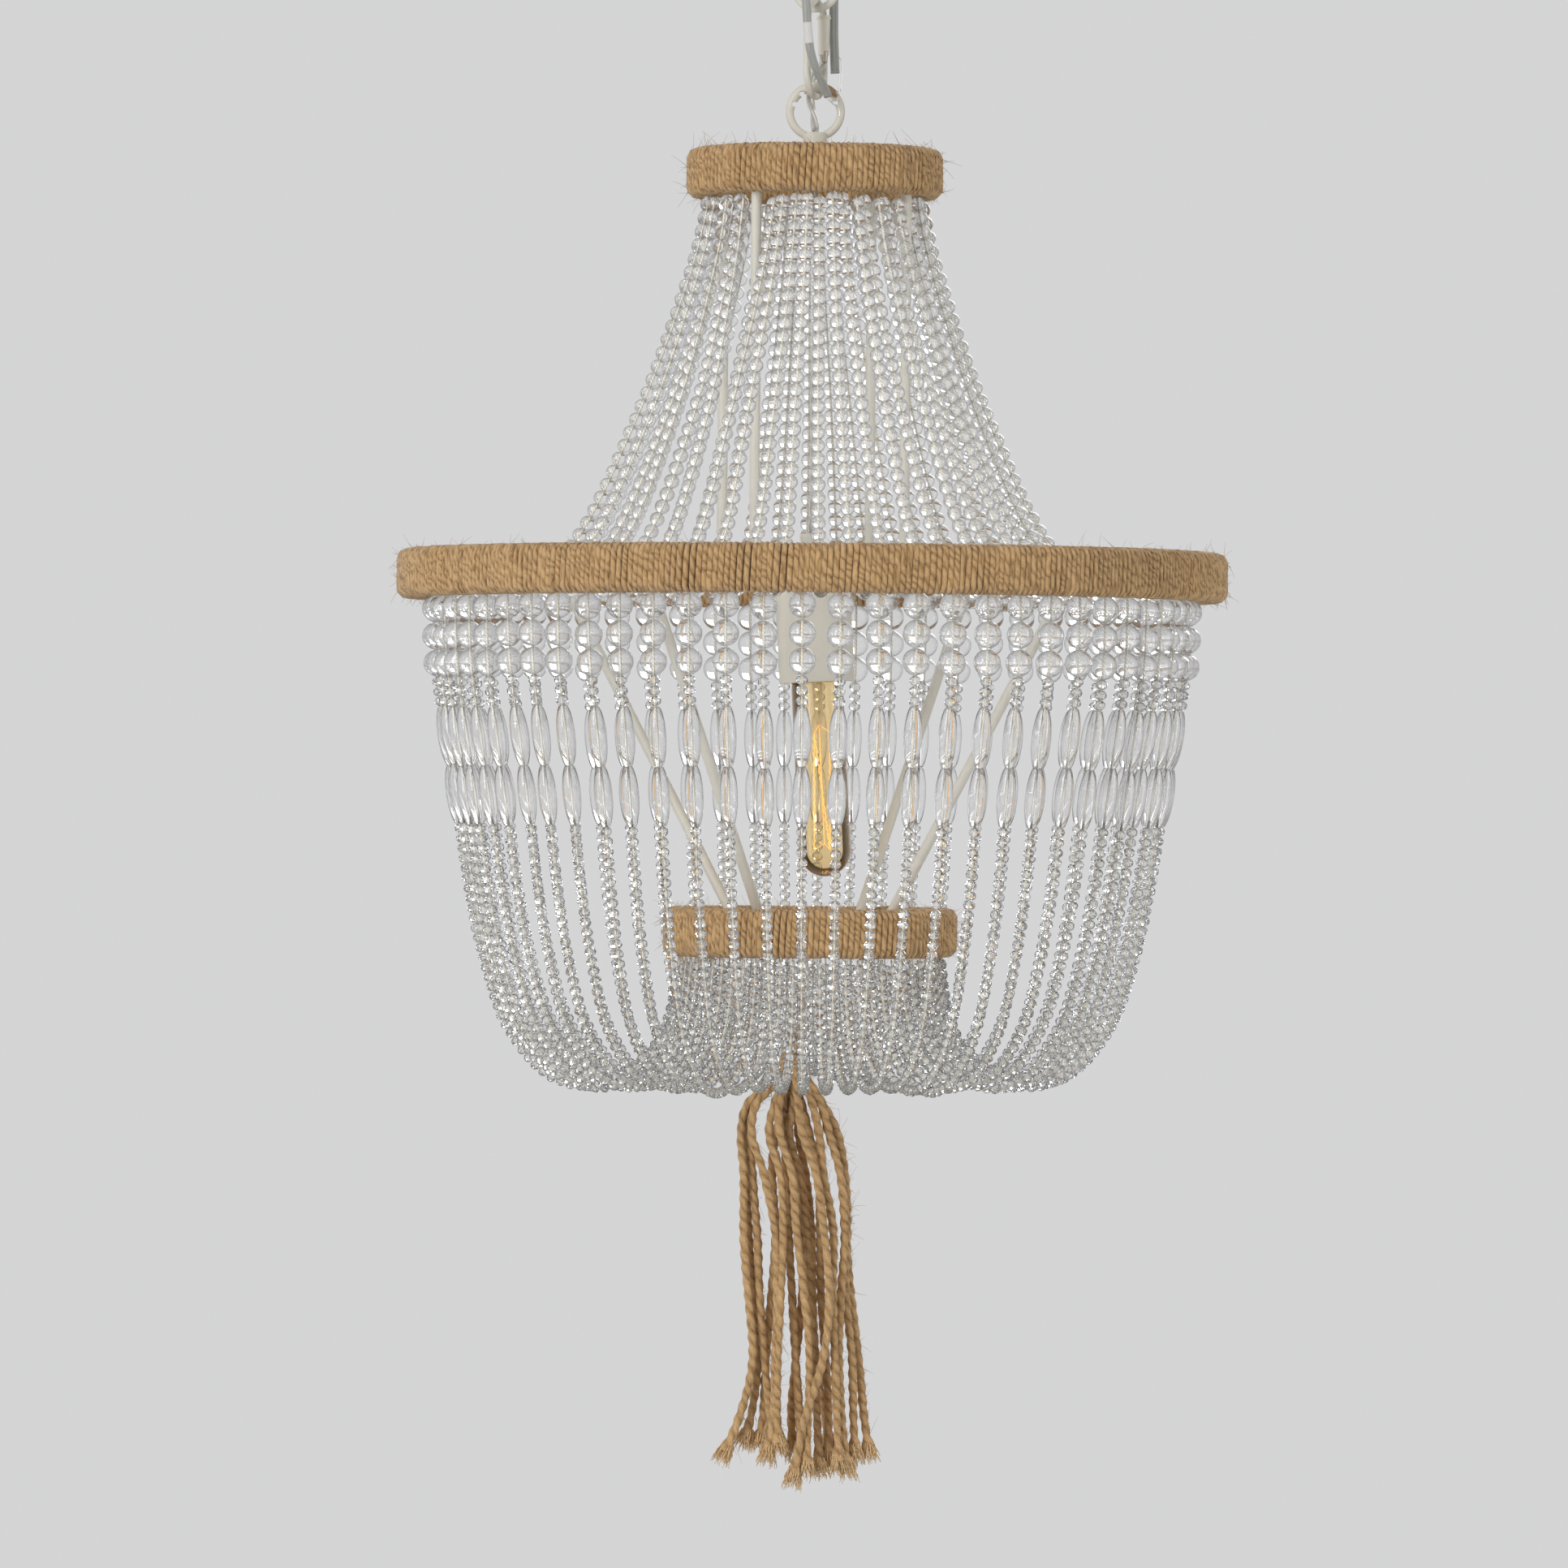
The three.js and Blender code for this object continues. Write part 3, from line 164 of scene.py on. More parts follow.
class Recipe:
    """The node tree of one material, or of the world, written a node at a time."""

    def __init__(self, name: str, world: bool = False) -> None:
        """Starts an empty material or world.

        Args:
            name: Its name.
            world: Whether it is the world.
        """
        self.owner = (bpy.data.worlds if world else bpy.data.materials).new(name)
        self.output = "ShaderNodeOutputWorld" if world else "ShaderNodeOutputMaterial"
        self.owner.use_nodes = True
        self.tree = self.owner.node_tree
        self.tree.nodes.clear()

    def node(self, kind: str, settings: Settings = None, inputs: Inputs = None) -> bpy.types.Node:
        """Adds a node.

        Args:
            kind: The node's type.
            settings: Its own settings, set first. "stops" holds a ramp's places and colours.
            inputs: Values or signals for its sockets, by name or number.

        Returns:
            The new node.
        """
        made = self.tree.nodes.new(kind)
        for name, value in (settings or {}).items():
            if name == "stops":
                self._stops(made, value)
            else:
                setattr(made, name, value)
        for name, value in (inputs or {}).items():
            socket = made.inputs[name]
            if isinstance(value, Signal):
                self.tree.links.new(value.socket, socket)
            elif isinstance(value, tuple) and len(value) == 3 and socket.type == "RGBA":
                socket.default_value = (*value, 1.0)
            else:
                socket.default_value = value
        return made

    @staticmethod
    def _stops(ramp: bpy.types.Node, stops: Sequence[tuple[float, Colour]]) -> None:
        """Sets a colour ramp's places and colours.

        Args:
            ramp: The ramp's node.
            stops: Its places, each with its colour.
        """
        elements = ramp.color_ramp.elements
        while len(elements) < len(stops):
            elements.new(1.0)
        for element, (place, colour) in zip(elements, stops):
            element.position = place
            element.color = (*colour, 1.0)

    def signal(
        self, kind: str, settings: Settings = None, inputs: Inputs = None, output: Union[str, int] = 0
    ) -> Signal:
        """Adds a node and gives one of its outputs."""
        return Signal(self, self.node(kind, settings, inputs).outputs[output])

    def place(self, stretch: Point = (1.0, 1.0, 1.0)) -> Signal:
        """The point on the piece, in metres, stretched along its axes."""
        raw = self.signal("ShaderNodeTexCoord", output="Object")
        return self.signal("ShaderNodeMapping", None, {"Vector": raw, "Scale": stretch})

    def noise(self, scale: float, detail: float = 3.0, stretch: Point = (1.0, 1.0, 1.0)) -> Signal:
        """Cloudy noise, from 0 to 1, with this many clouds to the metre."""
        inputs = {"Vector": self.place(stretch), "Scale": scale, "Detail": detail}
        return self.signal("ShaderNodeTexNoise", None, inputs)

    def along(self) -> tuple[Signal, Signal]:
        """Reads the piece's own map.

        Returns:
            The share round a cord and the metres along it.
        """
        raw = self.signal("ShaderNodeUVMap", {"uv_map": "UVMap"})
        split = self.node("ShaderNodeSeparateXYZ", None, {0: raw})
        return Signal(self, split.outputs[0]), Signal(self, split.outputs[1])

    def ramp(self, share: Signal, stops: Sequence[tuple[float, Colour]]) -> Signal:
        """A colour for each value from 0 to 1."""
        return self.signal("ShaderNodeValToRGB", {"stops": stops}, {"Fac": share})

    def blend(self, share: Feed, low: Feed, high: Feed) -> Signal:
        """A colour between two."""
        settings = {"data_type": "RGBA", "clamp_factor": True}
        return self.signal("ShaderNodeMix", settings, {0: share, 6: low, 7: high}, 2)

    def mottled(self, share: Feed, colour: Colour, dim: float) -> Signal:
        """A colour that is this much dimmer where the share is low."""
        return self.blend(share, tuple(dim * part for part in colour), colour)

    def between(self, value: Signal, low: float, high: float) -> Signal:
        """0 under low, 1 over high, and even in between."""
        settings = {"clamp": True}
        return self.signal("ShaderNodeMapRange", settings, {0: value, 1: low, 2: high, 3: 0.0, 4: 1.0})

    def bump(self, height: Signal, metres: float, strength: float = 1.0) -> Signal:
        """A normal from a height that runs from 0 to 1."""
        inputs = {"Height": height, "Distance": metres, "Strength": strength}
        return self.signal("ShaderNodeBump", None, inputs, "Normal")

    def mixed(self, share: Feed, low: bpy.types.Node, high: bpy.types.Node) -> bpy.types.Node:
        """A shader between two."""
        shaders = {1: Signal(self, low.outputs[0]), 2: Signal(self, high.outputs[0])}
        return self.node("ShaderNodeMixShader", None, {0: share, **shaders})

    def finish(self, shader: bpy.types.Node) -> Union[Material, bpy.types.World]:
        """Links the last shader to the output and gives the material or the world."""
        self.node(self.output, None, {"Surface": Signal(self, shader.outputs[0])})
        return self.owner

    def principled(self, **inputs: Feed) -> bpy.types.Node:
        """Adds a Principled shader; underscores stand for the spaces in socket names."""
        named = {name.replace("_", " "): value for name, value in inputs.items()}
        return self.node("ShaderNodeBsdfPrincipled", None, named)


class Finish:
    """A surface finish, made into one material when it is first used."""

    _made: dict["Finish", Material] = {}

    def write(self) -> Material:
        """Writes the material's nodes."""
        raise NotImplementedError

    def material(self) -> Material:
        """Writes the material at the first call.

        Returns:
            The finish's one material.
        """
        if self not in Finish._made:
            Finish._made[self] = self.write()
        return Finish._made[self]

    def dress(self, piece: Piece) -> Piece:
        """Puts the finish on a whole piece.

        Args:
            piece: The piece.

        Returns:
            The same piece.
        """
        piece.data.materials.clear()
        piece.data.materials.append(self.material())
        return piece


@dataclass(frozen=True)
class JuteTwine(Finish):
    """Two-ply jute: the plies turn round each other, and hairs and pale fibres run along them."""

    name: str = "jute_twine"
    lay: float = 8.4 * MM
    ply_share: float = 0.34
    wobble: float = 0.5
    # How much shade is painted on the twine's sides, where one turn meets the next.
    groove: float = 0.0
    pale: Colour = (0.80, 0.53, 0.26)
    middle: Colour = (0.50, 0.30, 0.124)
    dark: Colour = (0.13, 0.062, 0.023)

    def write(self) -> Material:
        """Writes the material's nodes.

        Returns:
            The material.
        """
        recipe = Recipe(self.name)
        around, along = recipe.along()
        slip = recipe.noise(55.0, 2.0) + self._strands(recipe, along * 5.0, 0.0, 0.0) * 6.0
        slip = slip * self.wobble
        turn = around * 2.0 + along * (1 / self.lay) + slip
        ply = (turn * math.pi).sine().size()
        fibre = self._strands(recipe, turn * 6.0, along * 70.0, around * 3.0)
        fine = self._strands(recipe, turn * 24.0, along * 150.0, around * 9.0)
        length = self._strands(recipe, along * 9.0, 0.0, 0.0)
        patch = recipe.noise(70.0, 3.0)
        drawn = recipe.between(fibre, 0.3, 0.7) * 0.38 + recipe.between(fine, 0.3, 0.7) * 0.36
        # Painted shade: the colour darkens towards the twine's sides, where one turn meets the next, by the
        # groove share.
        side = (around * (2 * math.pi)).sine().size() ** 3
        shade = drawn + ply * self.ply_share - side * self.groove + patch * 0.28 + length * 0.28
        shade = shade - (0.15 + self.ply_share * 0.62 - self.groove * 0.2)
        stops = [(0.1, self.dark), (0.44, self.middle), (0.84, self.pale)]
        height = ply * 0.45 + fibre * 0.3 + fine * 0.25
        shader = recipe.principled(
            Base_Color=recipe.ramp(shade, stops),
            Roughness=0.92,
            Normal=recipe.bump(height, 0.7 * MM, 0.9),
            Specular_IOR_Level=0.15,
            Sheen_Weight=0.3,
            Sheen_Roughness=0.6,
        )
        return recipe.finish(shader)

    @staticmethod
    def _strands(recipe: Recipe, across: Feed, along: Feed, around: Feed) -> Signal:
        """Noise drawn out along the plies, from 0 to 1."""
        place = recipe.signal("ShaderNodeCombineXYZ", None, {0: across, 1: along, 2: around})
        return recipe.signal("ShaderNodeTexNoise", None, {"Vector": place, "Scale": 2.6, "Detail": 4.0})


@dataclass(frozen=True)
class LooseFibre(Finish):
    """Pale straw-coloured jute fibres, a little shiny."""

    name: str = "loose_fibre"
    colour: Colour = (0.54, 0.36, 0.17)

    def write(self) -> Material:
        """Writes the material's nodes.

        Returns:
            The material.
        """
        recipe = Recipe(self.name)
        patch = recipe.noise(160.0, 3.0)
        shader = recipe.principled(
            Base_Color=recipe.mottled(patch, self.colour, 0.62),
            Roughness=0.7,
            Sheen_Weight=0.3,
        )
        return recipe.finish(shader)


@dataclass(frozen=True)
class ClearGlass(Finish):
    """Clear beads with shade painted at their rims and a faint cloud in the glass, which let most light
    through.
    """

    name: str = "clear_bead"
    tint: Colour = (0.985, 0.985, 0.99)
    # The colour of the shade painted at the bead's rims, and the facing share where that painted shade
    # starts.
    rim: Colour = (0.21, 0.22, 0.235)
    rim_shade_start: float = 0.25
    clearness: float = 0.97
    roughness: float = 0.01

    def write(self) -> Material:
        """Writes the material's nodes.

        Returns:
            The material.
        """
        recipe = Recipe(self.name)
        cloud = recipe.between(recipe.noise(140.0, 2.0), 0.3, 0.75)
        facing = recipe.signal("ShaderNodeLayerWeight", None, {"Blend": 0.5}, "Facing")
        shaded = recipe.signal("ShaderNodeLightPath", output="Is Shadow Ray")
        clear = recipe.mottled(cloud, self.tint, 0.95)
        shader = recipe.principled(
            # Painted shade: the base colour darkens towards the rims, where the bead turns away from the
            # eye.
            Base_Color=recipe.blend(recipe.between(facing, self.rim_shade_start, 0.95), clear, self.rim),
            Roughness=self.roughness,
            IOR=1.46,
            Transmission_Weight=self.clearness,
            Alpha=1.0 - shaded * 0.8,
        )
        return recipe.finish(shader)


@dataclass(frozen=True)
class Thread(Finish):
    """The twisted white thread that the beads hang on."""

    name: str = "bead_thread"
    colour: Colour = (0.92, 0.88, 0.76)
    lay: float = 1.7 * MM

    def write(self) -> Material:
        """Writes the material's nodes.

        Returns:
            The material.
        """
        recipe = Recipe(self.name)
        around, along = recipe.along()
        ply = ((around * 2.0 + along * (1 / self.lay)) * math.pi).sine().size()
        streak = recipe.noise(900.0, 2.0)
        shade = recipe.between(ply * 0.75 + streak * 0.4, 0.12, 0.75)
        colour = recipe.mottled(shade, self.colour, 0.45)
        shader = recipe.principled(Base_Color=colour, Roughness=0.65, Normal=recipe.bump(ply, 0.2 * MM, 0.8))
        return recipe.finish(shader)


@dataclass(frozen=True)
class PaintedIron(Finish):
    """Brushed-on off-white paint over iron, worn brown in places."""

    name: str = "painted_iron"
    paint: Colour = (0.80, 0.77, 0.68)
    worn: Colour = (0.33, 0.22, 0.12)
    wear: float = 0.66
    stain: Optional[Point] = None
    stain_reach: float = 12 * MM

    def _stained(self, recipe: Recipe) -> Signal:
        """How near the stain's middle is, seen from the front.

        Args:
            recipe: The material's recipe.

        Returns:
            A value that falls from 0.32 to 0.
        """
        spot = recipe.node("ShaderNodeSeparateXYZ", None, {0: recipe.place()})
        east, up = (Signal(recipe, spot.outputs[i]) - self.stain[i] for i in (0, 2))
        far = (east * east + up * up) ** 0.5
        return (1.0 - recipe.between(far, 0.0, self.stain_reach)) * 0.32

    def write(self) -> Material:
        """Writes the material's nodes.

        Returns:
            The material.
        """
        recipe = Recipe(self.name)
        cloud = recipe.noise(45.0, 4.0)
        brush = recipe.noise(260.0, 3.0, (1.0, 1.0, 0.25))
        coat = recipe.mottled(cloud, self.paint, 0.86)
        wear = recipe.noise(120.0, 5.0) * 0.6 + cloud * 0.4
        if self.stain:
            wear = wear + self._stained(recipe)
        rubbed = recipe.between(wear, self.wear, self.wear + 0.06)
        shader = recipe.principled(
            Base_Color=recipe.blend(rubbed, coat, self.worn),
            Roughness=brush * 0.25 + 0.35,
            Normal=recipe.bump(brush + cloud * 0.5, 0.25 * MM, 0.5),
        )
        return recipe.finish(shader)


@dataclass(frozen=True)
class Metal(Finish):
    """Bare metal with faint streaks and dull patches."""

    name: str
    colour: Colour
    roughness: float = 0.3

    def write(self) -> Material:
        """Writes the material's nodes.

        Returns:
            The material.
        """
        recipe = Recipe(self.name)
        patch = recipe.noise(110.0, 4.0)
        streak = recipe.noise(420.0, 3.0, (1.0, 1.0, 0.15))
        shader = recipe.principled(
            Base_Color=recipe.mottled(patch, self.colour, 0.72),
            Metallic=1.0,
            Roughness=streak * 0.2 + self.roughness,
            Normal=recipe.bump(streak, 0.05 * MM, 0.4),
        )
        return recipe.finish(shader)


@dataclass(frozen=True)
class Moulded(Finish):
    """Moulded plastic or card with a fine grain, yellowed in patches."""

    name: str
    colour: Colour
    roughness: float = 0.45

    def write(self) -> Material:
        """Writes the material's nodes.

        Returns:
            The material.
        """
        recipe = Recipe(self.name)
        patch = recipe.noise(60.0, 3.0)
        grain = recipe.noise(1500.0, 2.0)
        shader = recipe.principled(
            Base_Color=recipe.mottled(patch, self.colour, 0.84),
            Roughness=grain * 0.12 + self.roughness,
            Normal=recipe.bump(grain, 0.06 * MM, 0.4),
        )
        return recipe.finish(shader)


@dataclass(frozen=True)
class ThinGlass(Finish):
    """Thin tinted glass or clear insulation: see-through, with a shine and darker edges."""

    name: str
    tint: Colour
    see_through: float = 0.55
    roughness: float = 0.05

    def write(self) -> Material:
        """Writes the material's nodes.

        Returns:
            The material.
        """
        recipe = Recipe(self.name)
        facing = recipe.signal("ShaderNodeLayerWeight", None, {"Blend": 0.35}, "Facing")
        patch = recipe.noise(50.0, 2.0)
        shader = recipe.principled(
            Base_Color=recipe.mottled(patch, self.tint, 0.85),
            Roughness=self.roughness,
            IOR=1.45,
            Alpha=recipe.between(facing * 0.75 + (1 - self.see_through), 0.0, 1.0),
        )
        return recipe.finish(shader)


@dataclass(frozen=True)
class BlownAmber(Finish):
    """Blown amber glass: clear where it faces the eye, deep golden towards its edges, with a shine."""

    name: str = "amber_glass"
    clear: Colour = (0.985, 0.86, 0.62)
    deep: Colour = (0.72, 0.38, 0.10)
    golden: Colour = (0.90, 0.60, 0.24)

    def write(self) -> Material:
        """Writes the material's nodes.

        Returns:
            The material.
        """
        recipe = Recipe(self.name)
        facing = recipe.signal("ShaderNodeLayerWeight", None, {"Blend": 0.5}, "Facing")
        mirror = recipe.signal("ShaderNodeLayerWeight", None, {"Blend": 0.3}, "Fresnel")
        cloud = recipe.noise(40.0, 2.0)
        colour = recipe.ramp(facing * 0.85 + cloud * 0.15, [(0.1, self.golden), (0.9, self.deep)])
        body = recipe.principled(Base_Color=colour, Roughness=0.08, Coat_Weight=0.6, Coat_Roughness=0.03)
        window = recipe.node("ShaderNodeBsdfTransparent", None, {"Color": self.clear})
        shine = recipe.node("ShaderNodeBsdfGlossy", None, {"Roughness": 0.06})
        tinted = recipe.mixed(recipe.between(facing, 0.25, 1.1) * 0.75 + 0.04, window, body)
        return recipe.finish(recipe.mixed(mirror, tinted, shine))


@dataclass(frozen=True)
class Filament(Finish):
    """Warm, faintly glowing wire."""

    name: str = "filament_wire"
    colour: Colour = (1.0, 0.55, 0.18)

    def write(self) -> Material:
        """Writes the material's nodes.

        Returns:
            The material.
        """
        recipe = Recipe(self.name)
        glow = recipe.mottled(recipe.noise(300.0, 2.0), self.colour, 0.6)
        shader = recipe.principled(
            Base_Color=(0.5, 0.25, 0.1), Roughness=0.5, Emission_Color=glow, Emission_Strength=1.6
        )
        return recipe.finish(shader)


JUTE = JuteTwine(ply_share=0.3, wobble=0.7)
# The wound twine on the rings has shade painted on its sides, where the turns meet.
WOUND = JuteTwine("wound_jute", 7.2 * MM, 0.36, 2.6, 0.16)
FIBRE = LooseFibre()
TUFT = LooseFibre("cut_fibre", (0.98, 0.68, 0.35))
BEAD = ClearGlass()
# Cut beads have darker painted shade at their rims, starting nearer the middle.
CUT_BEAD = ClearGlass("cut_bead", rim=(0.09, 0.095, 0.11), rim_shade_start=0.08)
CORE = Thread()
PAINT = PaintedIron()
STAINED = PaintedIron("stained_iron", stain=(9 * MM, 0, -168 * MM))
STEEL = Metal("bare_steel", (0.52, 0.52, 0.5), 0.35)
BRASS = Metal("satin_brass", (0.62, 0.47, 0.25), 0.28)
SILVER = Metal("tinned_wire", (0.86, 0.85, 0.82), 0.2)
DULL = Metal("dull_lead", (0.50, 0.45, 0.37), 0.38)
CREAM = Moulded("cream_card", (0.84, 0.80, 0.69))
GROMMET = Moulded("soft_rubber", (0.62, 0.6, 0.54), 0.6)
HOOP_WOOD = Moulded("bent_wood", (0.42, 0.28, 0.15), 0.6)
AMBER = BlownAmber()
CORD_SKIN = ThinGlass("cord_skin", (0.44, 0.45, 0.42), 0.35, 0.2)
LEAD_SKIN = ThinGlass("lead_skin", (0.74, 0.73, 0.67), 0.6, 0.12)
STEM_GLASS = ThinGlass("stem_glass", (0.86, 0.87, 0.86), 0.75)
WHITE_BAND = Moulded("white_band", (0.75, 0.74, 0.72), 0.4)
GLOW = Filament()


# Modelling


class Bench:
    """The modelling operators, each used on pieces that it selects itself."""

    RIM_ANGLE = math.radians(50)
    RIM_STEPS = 2
    BAR_STEPS = 5

    @staticmethod
    def clear() -> None:
        """Deselects everything."""
        if bpy.context.object and bpy.context.object.mode != "OBJECT":
            bpy.ops.object.mode_set(mode="OBJECT")
        bpy.ops.object.select_all(action="DESELECT")

    @classmethod
    def only(cls, piece: Piece) -> Piece:
        """Selects one piece and makes it the active one.

        Args:
            piece: The piece.

        Returns:
            The same piece.
        """
        cls.clear()
        piece.select_set(True)
        bpy.context.view_layer.objects.active = piece
        return piece

    @staticmethod
    def named(name: str) -> Piece:
        """Names the piece that an operator has just added.

        Args:
            name: The name, also of its mesh.

        Returns:
            The piece.
        """
        piece = bpy.context.object
        piece.name = name
        piece.data.name = name
        return piece

    @staticmethod
    def placed(name: str, data: Union[bpy.types.Mesh, bpy.types.Curve]) -> Piece:
        """Puts a mesh or curve into the scene.

        Args:
            name: The piece's name.
            data: Its mesh or curve.

        Returns:
            The piece.
        """
        piece = bpy.data.objects.new(name, data)
        bpy.context.collection.objects.link(piece)
        return piece

    @classmethod
    def settle(cls, piece: Piece) -> Piece:
        """Moves a piece's place and turn into its mesh.

        Args:
            piece: The piece.

        Returns:
            The same piece.
        """
        cls.only(piece)
        bpy.ops.object.transform_apply(location=True, rotation=True, scale=True)
        return piece

    @staticmethod
    def move(piece: Piece, matrix: Matrix) -> Piece:
        """Moves a piece's mesh.

        Args:
            piece: The piece.
            matrix: The move.

        Returns:
            The same piece.
        """
        piece.data.transform(matrix)
        piece.data.update()
        return piece

    @classmethod
    def smooth(cls, piece: Piece, degrees: float = 40.0) -> Piece:
        """Shades a piece smooth.

        Args:
            piece: The piece.
            degrees: The angle from which an edge stays sharp.

        Returns:
            The same piece.
        """
        cls.only(piece)
        bpy.ops.object.shade_smooth_by_angle(angle=math.radians(degrees))
        return piece

    @classmethod
    def modify(cls, piece: Piece, kind: str, **settings: object) -> Piece:
        """Adds a modifier and applies it.

        Args:
            piece: The piece.
            kind: The modifier's type.
            **settings: Its settings by name.

        Returns:
            The same piece.
        """
        cls.only(piece)
        modifier = piece.modifiers.new(kind.lower(), kind)
        for name, value in settings.items():
            setattr(modifier, name, value)
        bpy.ops.object.modifier_apply(modifier=modifier.name)
        return piece

    @classmethod
    def union(cls, name: str, pieces: Sequence[Piece]) -> Piece:
        """Joins pieces into one object.

        Args:
            name: The object's name.
            pieces: The pieces.

        Returns:
            The joined piece.
        """
        cls.clear()
        for piece in pieces:
            piece.select_set(True)
        bpy.context.view_layer.objects.active = pieces[0]
        bpy.ops.object.join()
        return cls.named(name)

    @classmethod
    def copy(cls, piece: Piece, name: str, matrix: Matrix) -> Piece:
        """Copies a piece with a mesh of its own.

        Args:
            piece: The piece.
            name: The copy's name.
            matrix: The copy's move.

        Returns:
            The copy.
        """
        twin = piece.copy()
        twin.data = piece.data.copy()
        twin.name = name
        bpy.context.collection.objects.link(twin)
        return cls.move(twin, matrix)

    @classmethod
    def bevel_rims(cls, piece: Piece, width: float) -> Piece:
        """Rounds a piece's sharp edges to a width."""
        limit = {"limit_method": "ANGLE", "angle_limit": cls.RIM_ANGLE}
        return cls.modify(piece, "BEVEL", width=width, segments=cls.RIM_STEPS, **limit)

    @staticmethod
    def _heal(threshold: float) -> None:
        """Joins corners that lie together, turns the faces outwards and leaves edit mode.

        Args:
            threshold: The distance within which corners are joined.
        """
        bpy.ops.mesh.select_all(action="SELECT")
        bpy.ops.mesh.remove_doubles(threshold=threshold)
        bpy.ops.mesh.normals_make_consistent(inside=False)
        bpy.ops.object.mode_set(mode="OBJECT")

    @classmethod
    def spun(cls, name: str, outline: Sequence[tuple[float, float]], steps: int = 40) -> Piece:
        """Spins an outline of (radius, height) about Z, into a closed shape.

        Args:
            name: The piece's name.
            outline: Points of the section, open if it starts and ends on the axis.
            steps: The steps of the turn.

        Returns:
            The turned piece.
        """
        points = [(radius, 0.0, height) for radius, height in outline]
        edges = [(i, i + 1) for i in range(len(points) - 1)]
        if outline[0][0] > 0:
            edges.append((len(points) - 1, 0))
        mesh = bpy.data.meshes.new(name)
        mesh.from_pydata(points, edges, [])
        piece = cls.only(cls.placed(name, mesh))
        bpy.ops.object.mode_set(mode="EDIT")
        bpy.ops.mesh.select_all(action="SELECT")
        bpy.ops.mesh.spin(steps=steps, angle=2 * math.pi, center=(0, 0, 0), axis=(0, 0, 1))
        cls._heal(0.01 * MM)
        return piece

    @classmethod
    def rod(cls, name: str, start: Vector, end: Vector, radius: float, sides: int = 20) -> Piece:
        """A round rod with softened ends.

        Args:
            name: The rod's name.
            start: The middle of one end.
            end: The middle of the other.
            radius: Its radius.
            sides: The section's corners.

        Returns:
            The rod.
        """
        along = end - start
        bpy.ops.mesh.primitive_cylinder_add(
            vertices=sides, radius=radius, depth=along.length, location=(start + end) / 2
        )
        piece = cls.named(name)
        piece.rotation_mode = "QUATERNION"
        piece.rotation_quaternion = along.to_track_quat("Z", "Y")
        cls.settle(piece)
        return cls.bevel_rims(piece, min(0.4 * MM, radius / 4))

    @classmethod
    def bent(
        cls,
        name: str,
        points: Sequence[Sequence[float]],
        radius: float,
        cyclic: bool = False,
        shares: Optional[Sequence[float]] = None,
    ) -> Piece:
        """A round bar bent along points, made as a curve and turned into a mesh.

        Args:
            name: The piece's name.
            points: The bar's centreline.
            radius: The bar's radius.
            cyclic: Whether it closes on itself.
            shares: The radius at each point, as a share.

        Returns:
            The bar.
        """
        curve = bpy.data.curves.new(name, "CURVE")
        curve.dimensions = "3D"
        curve.bevel_depth = radius
        curve.bevel_resolution = cls.BAR_STEPS
        curve.use_fill_caps = True
        spline = curve.splines.new("POLY")
        spline.points.add(len(points) - 1)
        spline.use_cyclic_u = cyclic
        for i, point in enumerate(points):
            spline.points[i].co = (*point, 1.0)
            spline.points[i].radius = shares[i] if shares else 1.0
        cls.only(cls.placed(name, curve))
        bpy.ops.object.convert(target="MESH")
        piece = cls.only(cls.named(name))
        bpy.ops.object.mode_set(mode="EDIT")
        cls._heal(0.005 * MM)
        return cls.smooth(piece, 50)

    @classmethod
    def cut(cls, piece: Piece, tool: Piece) -> Piece:
        """Cuts a tool's shape out of a piece and deletes the tool."""
        return cls._solid(piece, tool, "DIFFERENCE")

    @classmethod
    def weld(cls, piece: Piece, other: Piece) -> Piece:
        """Fuses another solid to a piece and deletes the other."""
        return cls._solid(piece, other, "UNION")

    @classmethod
    def _solid(cls, piece: Piece, other: Piece, operation: str) -> Piece:
        """Works one solid on another.

        Args:
            piece: The piece that stays.
            other: The piece that is used and deleted.
            operation: What is done.

        Returns:
            The piece that stays.
        """
        cls.modify(piece, "BOOLEAN", operation=operation, object=other, solver="EXACT")
        bpy.data.objects.remove(other)
        return piece


def seat(piece: Piece, body: Body, node: Optional[str]) -> None:
    """Puts a piece on a body.

    Args:
        piece: The piece.
        body: The body that it moves with.
        node: The node that it stands for, if any.
    """
    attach(piece, body.value)
    if node:
        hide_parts(node)


def dress_nodes(finish: Finish, *nodes: str) -> None:
    """Puts a finish on nodes that stay as they are in the solid model."""
    for node in nodes:
        finish.dress(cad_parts[node])


def around(degrees: float, radius: float, height: float) -> Vector:
    """A point at an angle and radius round the axis."""
    angle = math.radians(degrees)
    return Vector((radius * math.cos(angle), radius * math.sin(angle), height))


def in_metres(outline: Sequence[tuple[float, float]]) -> list[tuple[float, float]]:
    """An outline of radius and height in millimetres, turned into metres."""
    return [(radius * MM, height * MM) for radius, height in outline]


def unit(vectors: Array) -> Array:
    """One vector or many, brought to a length of one."""
    return vectors / np.linalg.norm(vectors, axis=-1, keepdims=True)


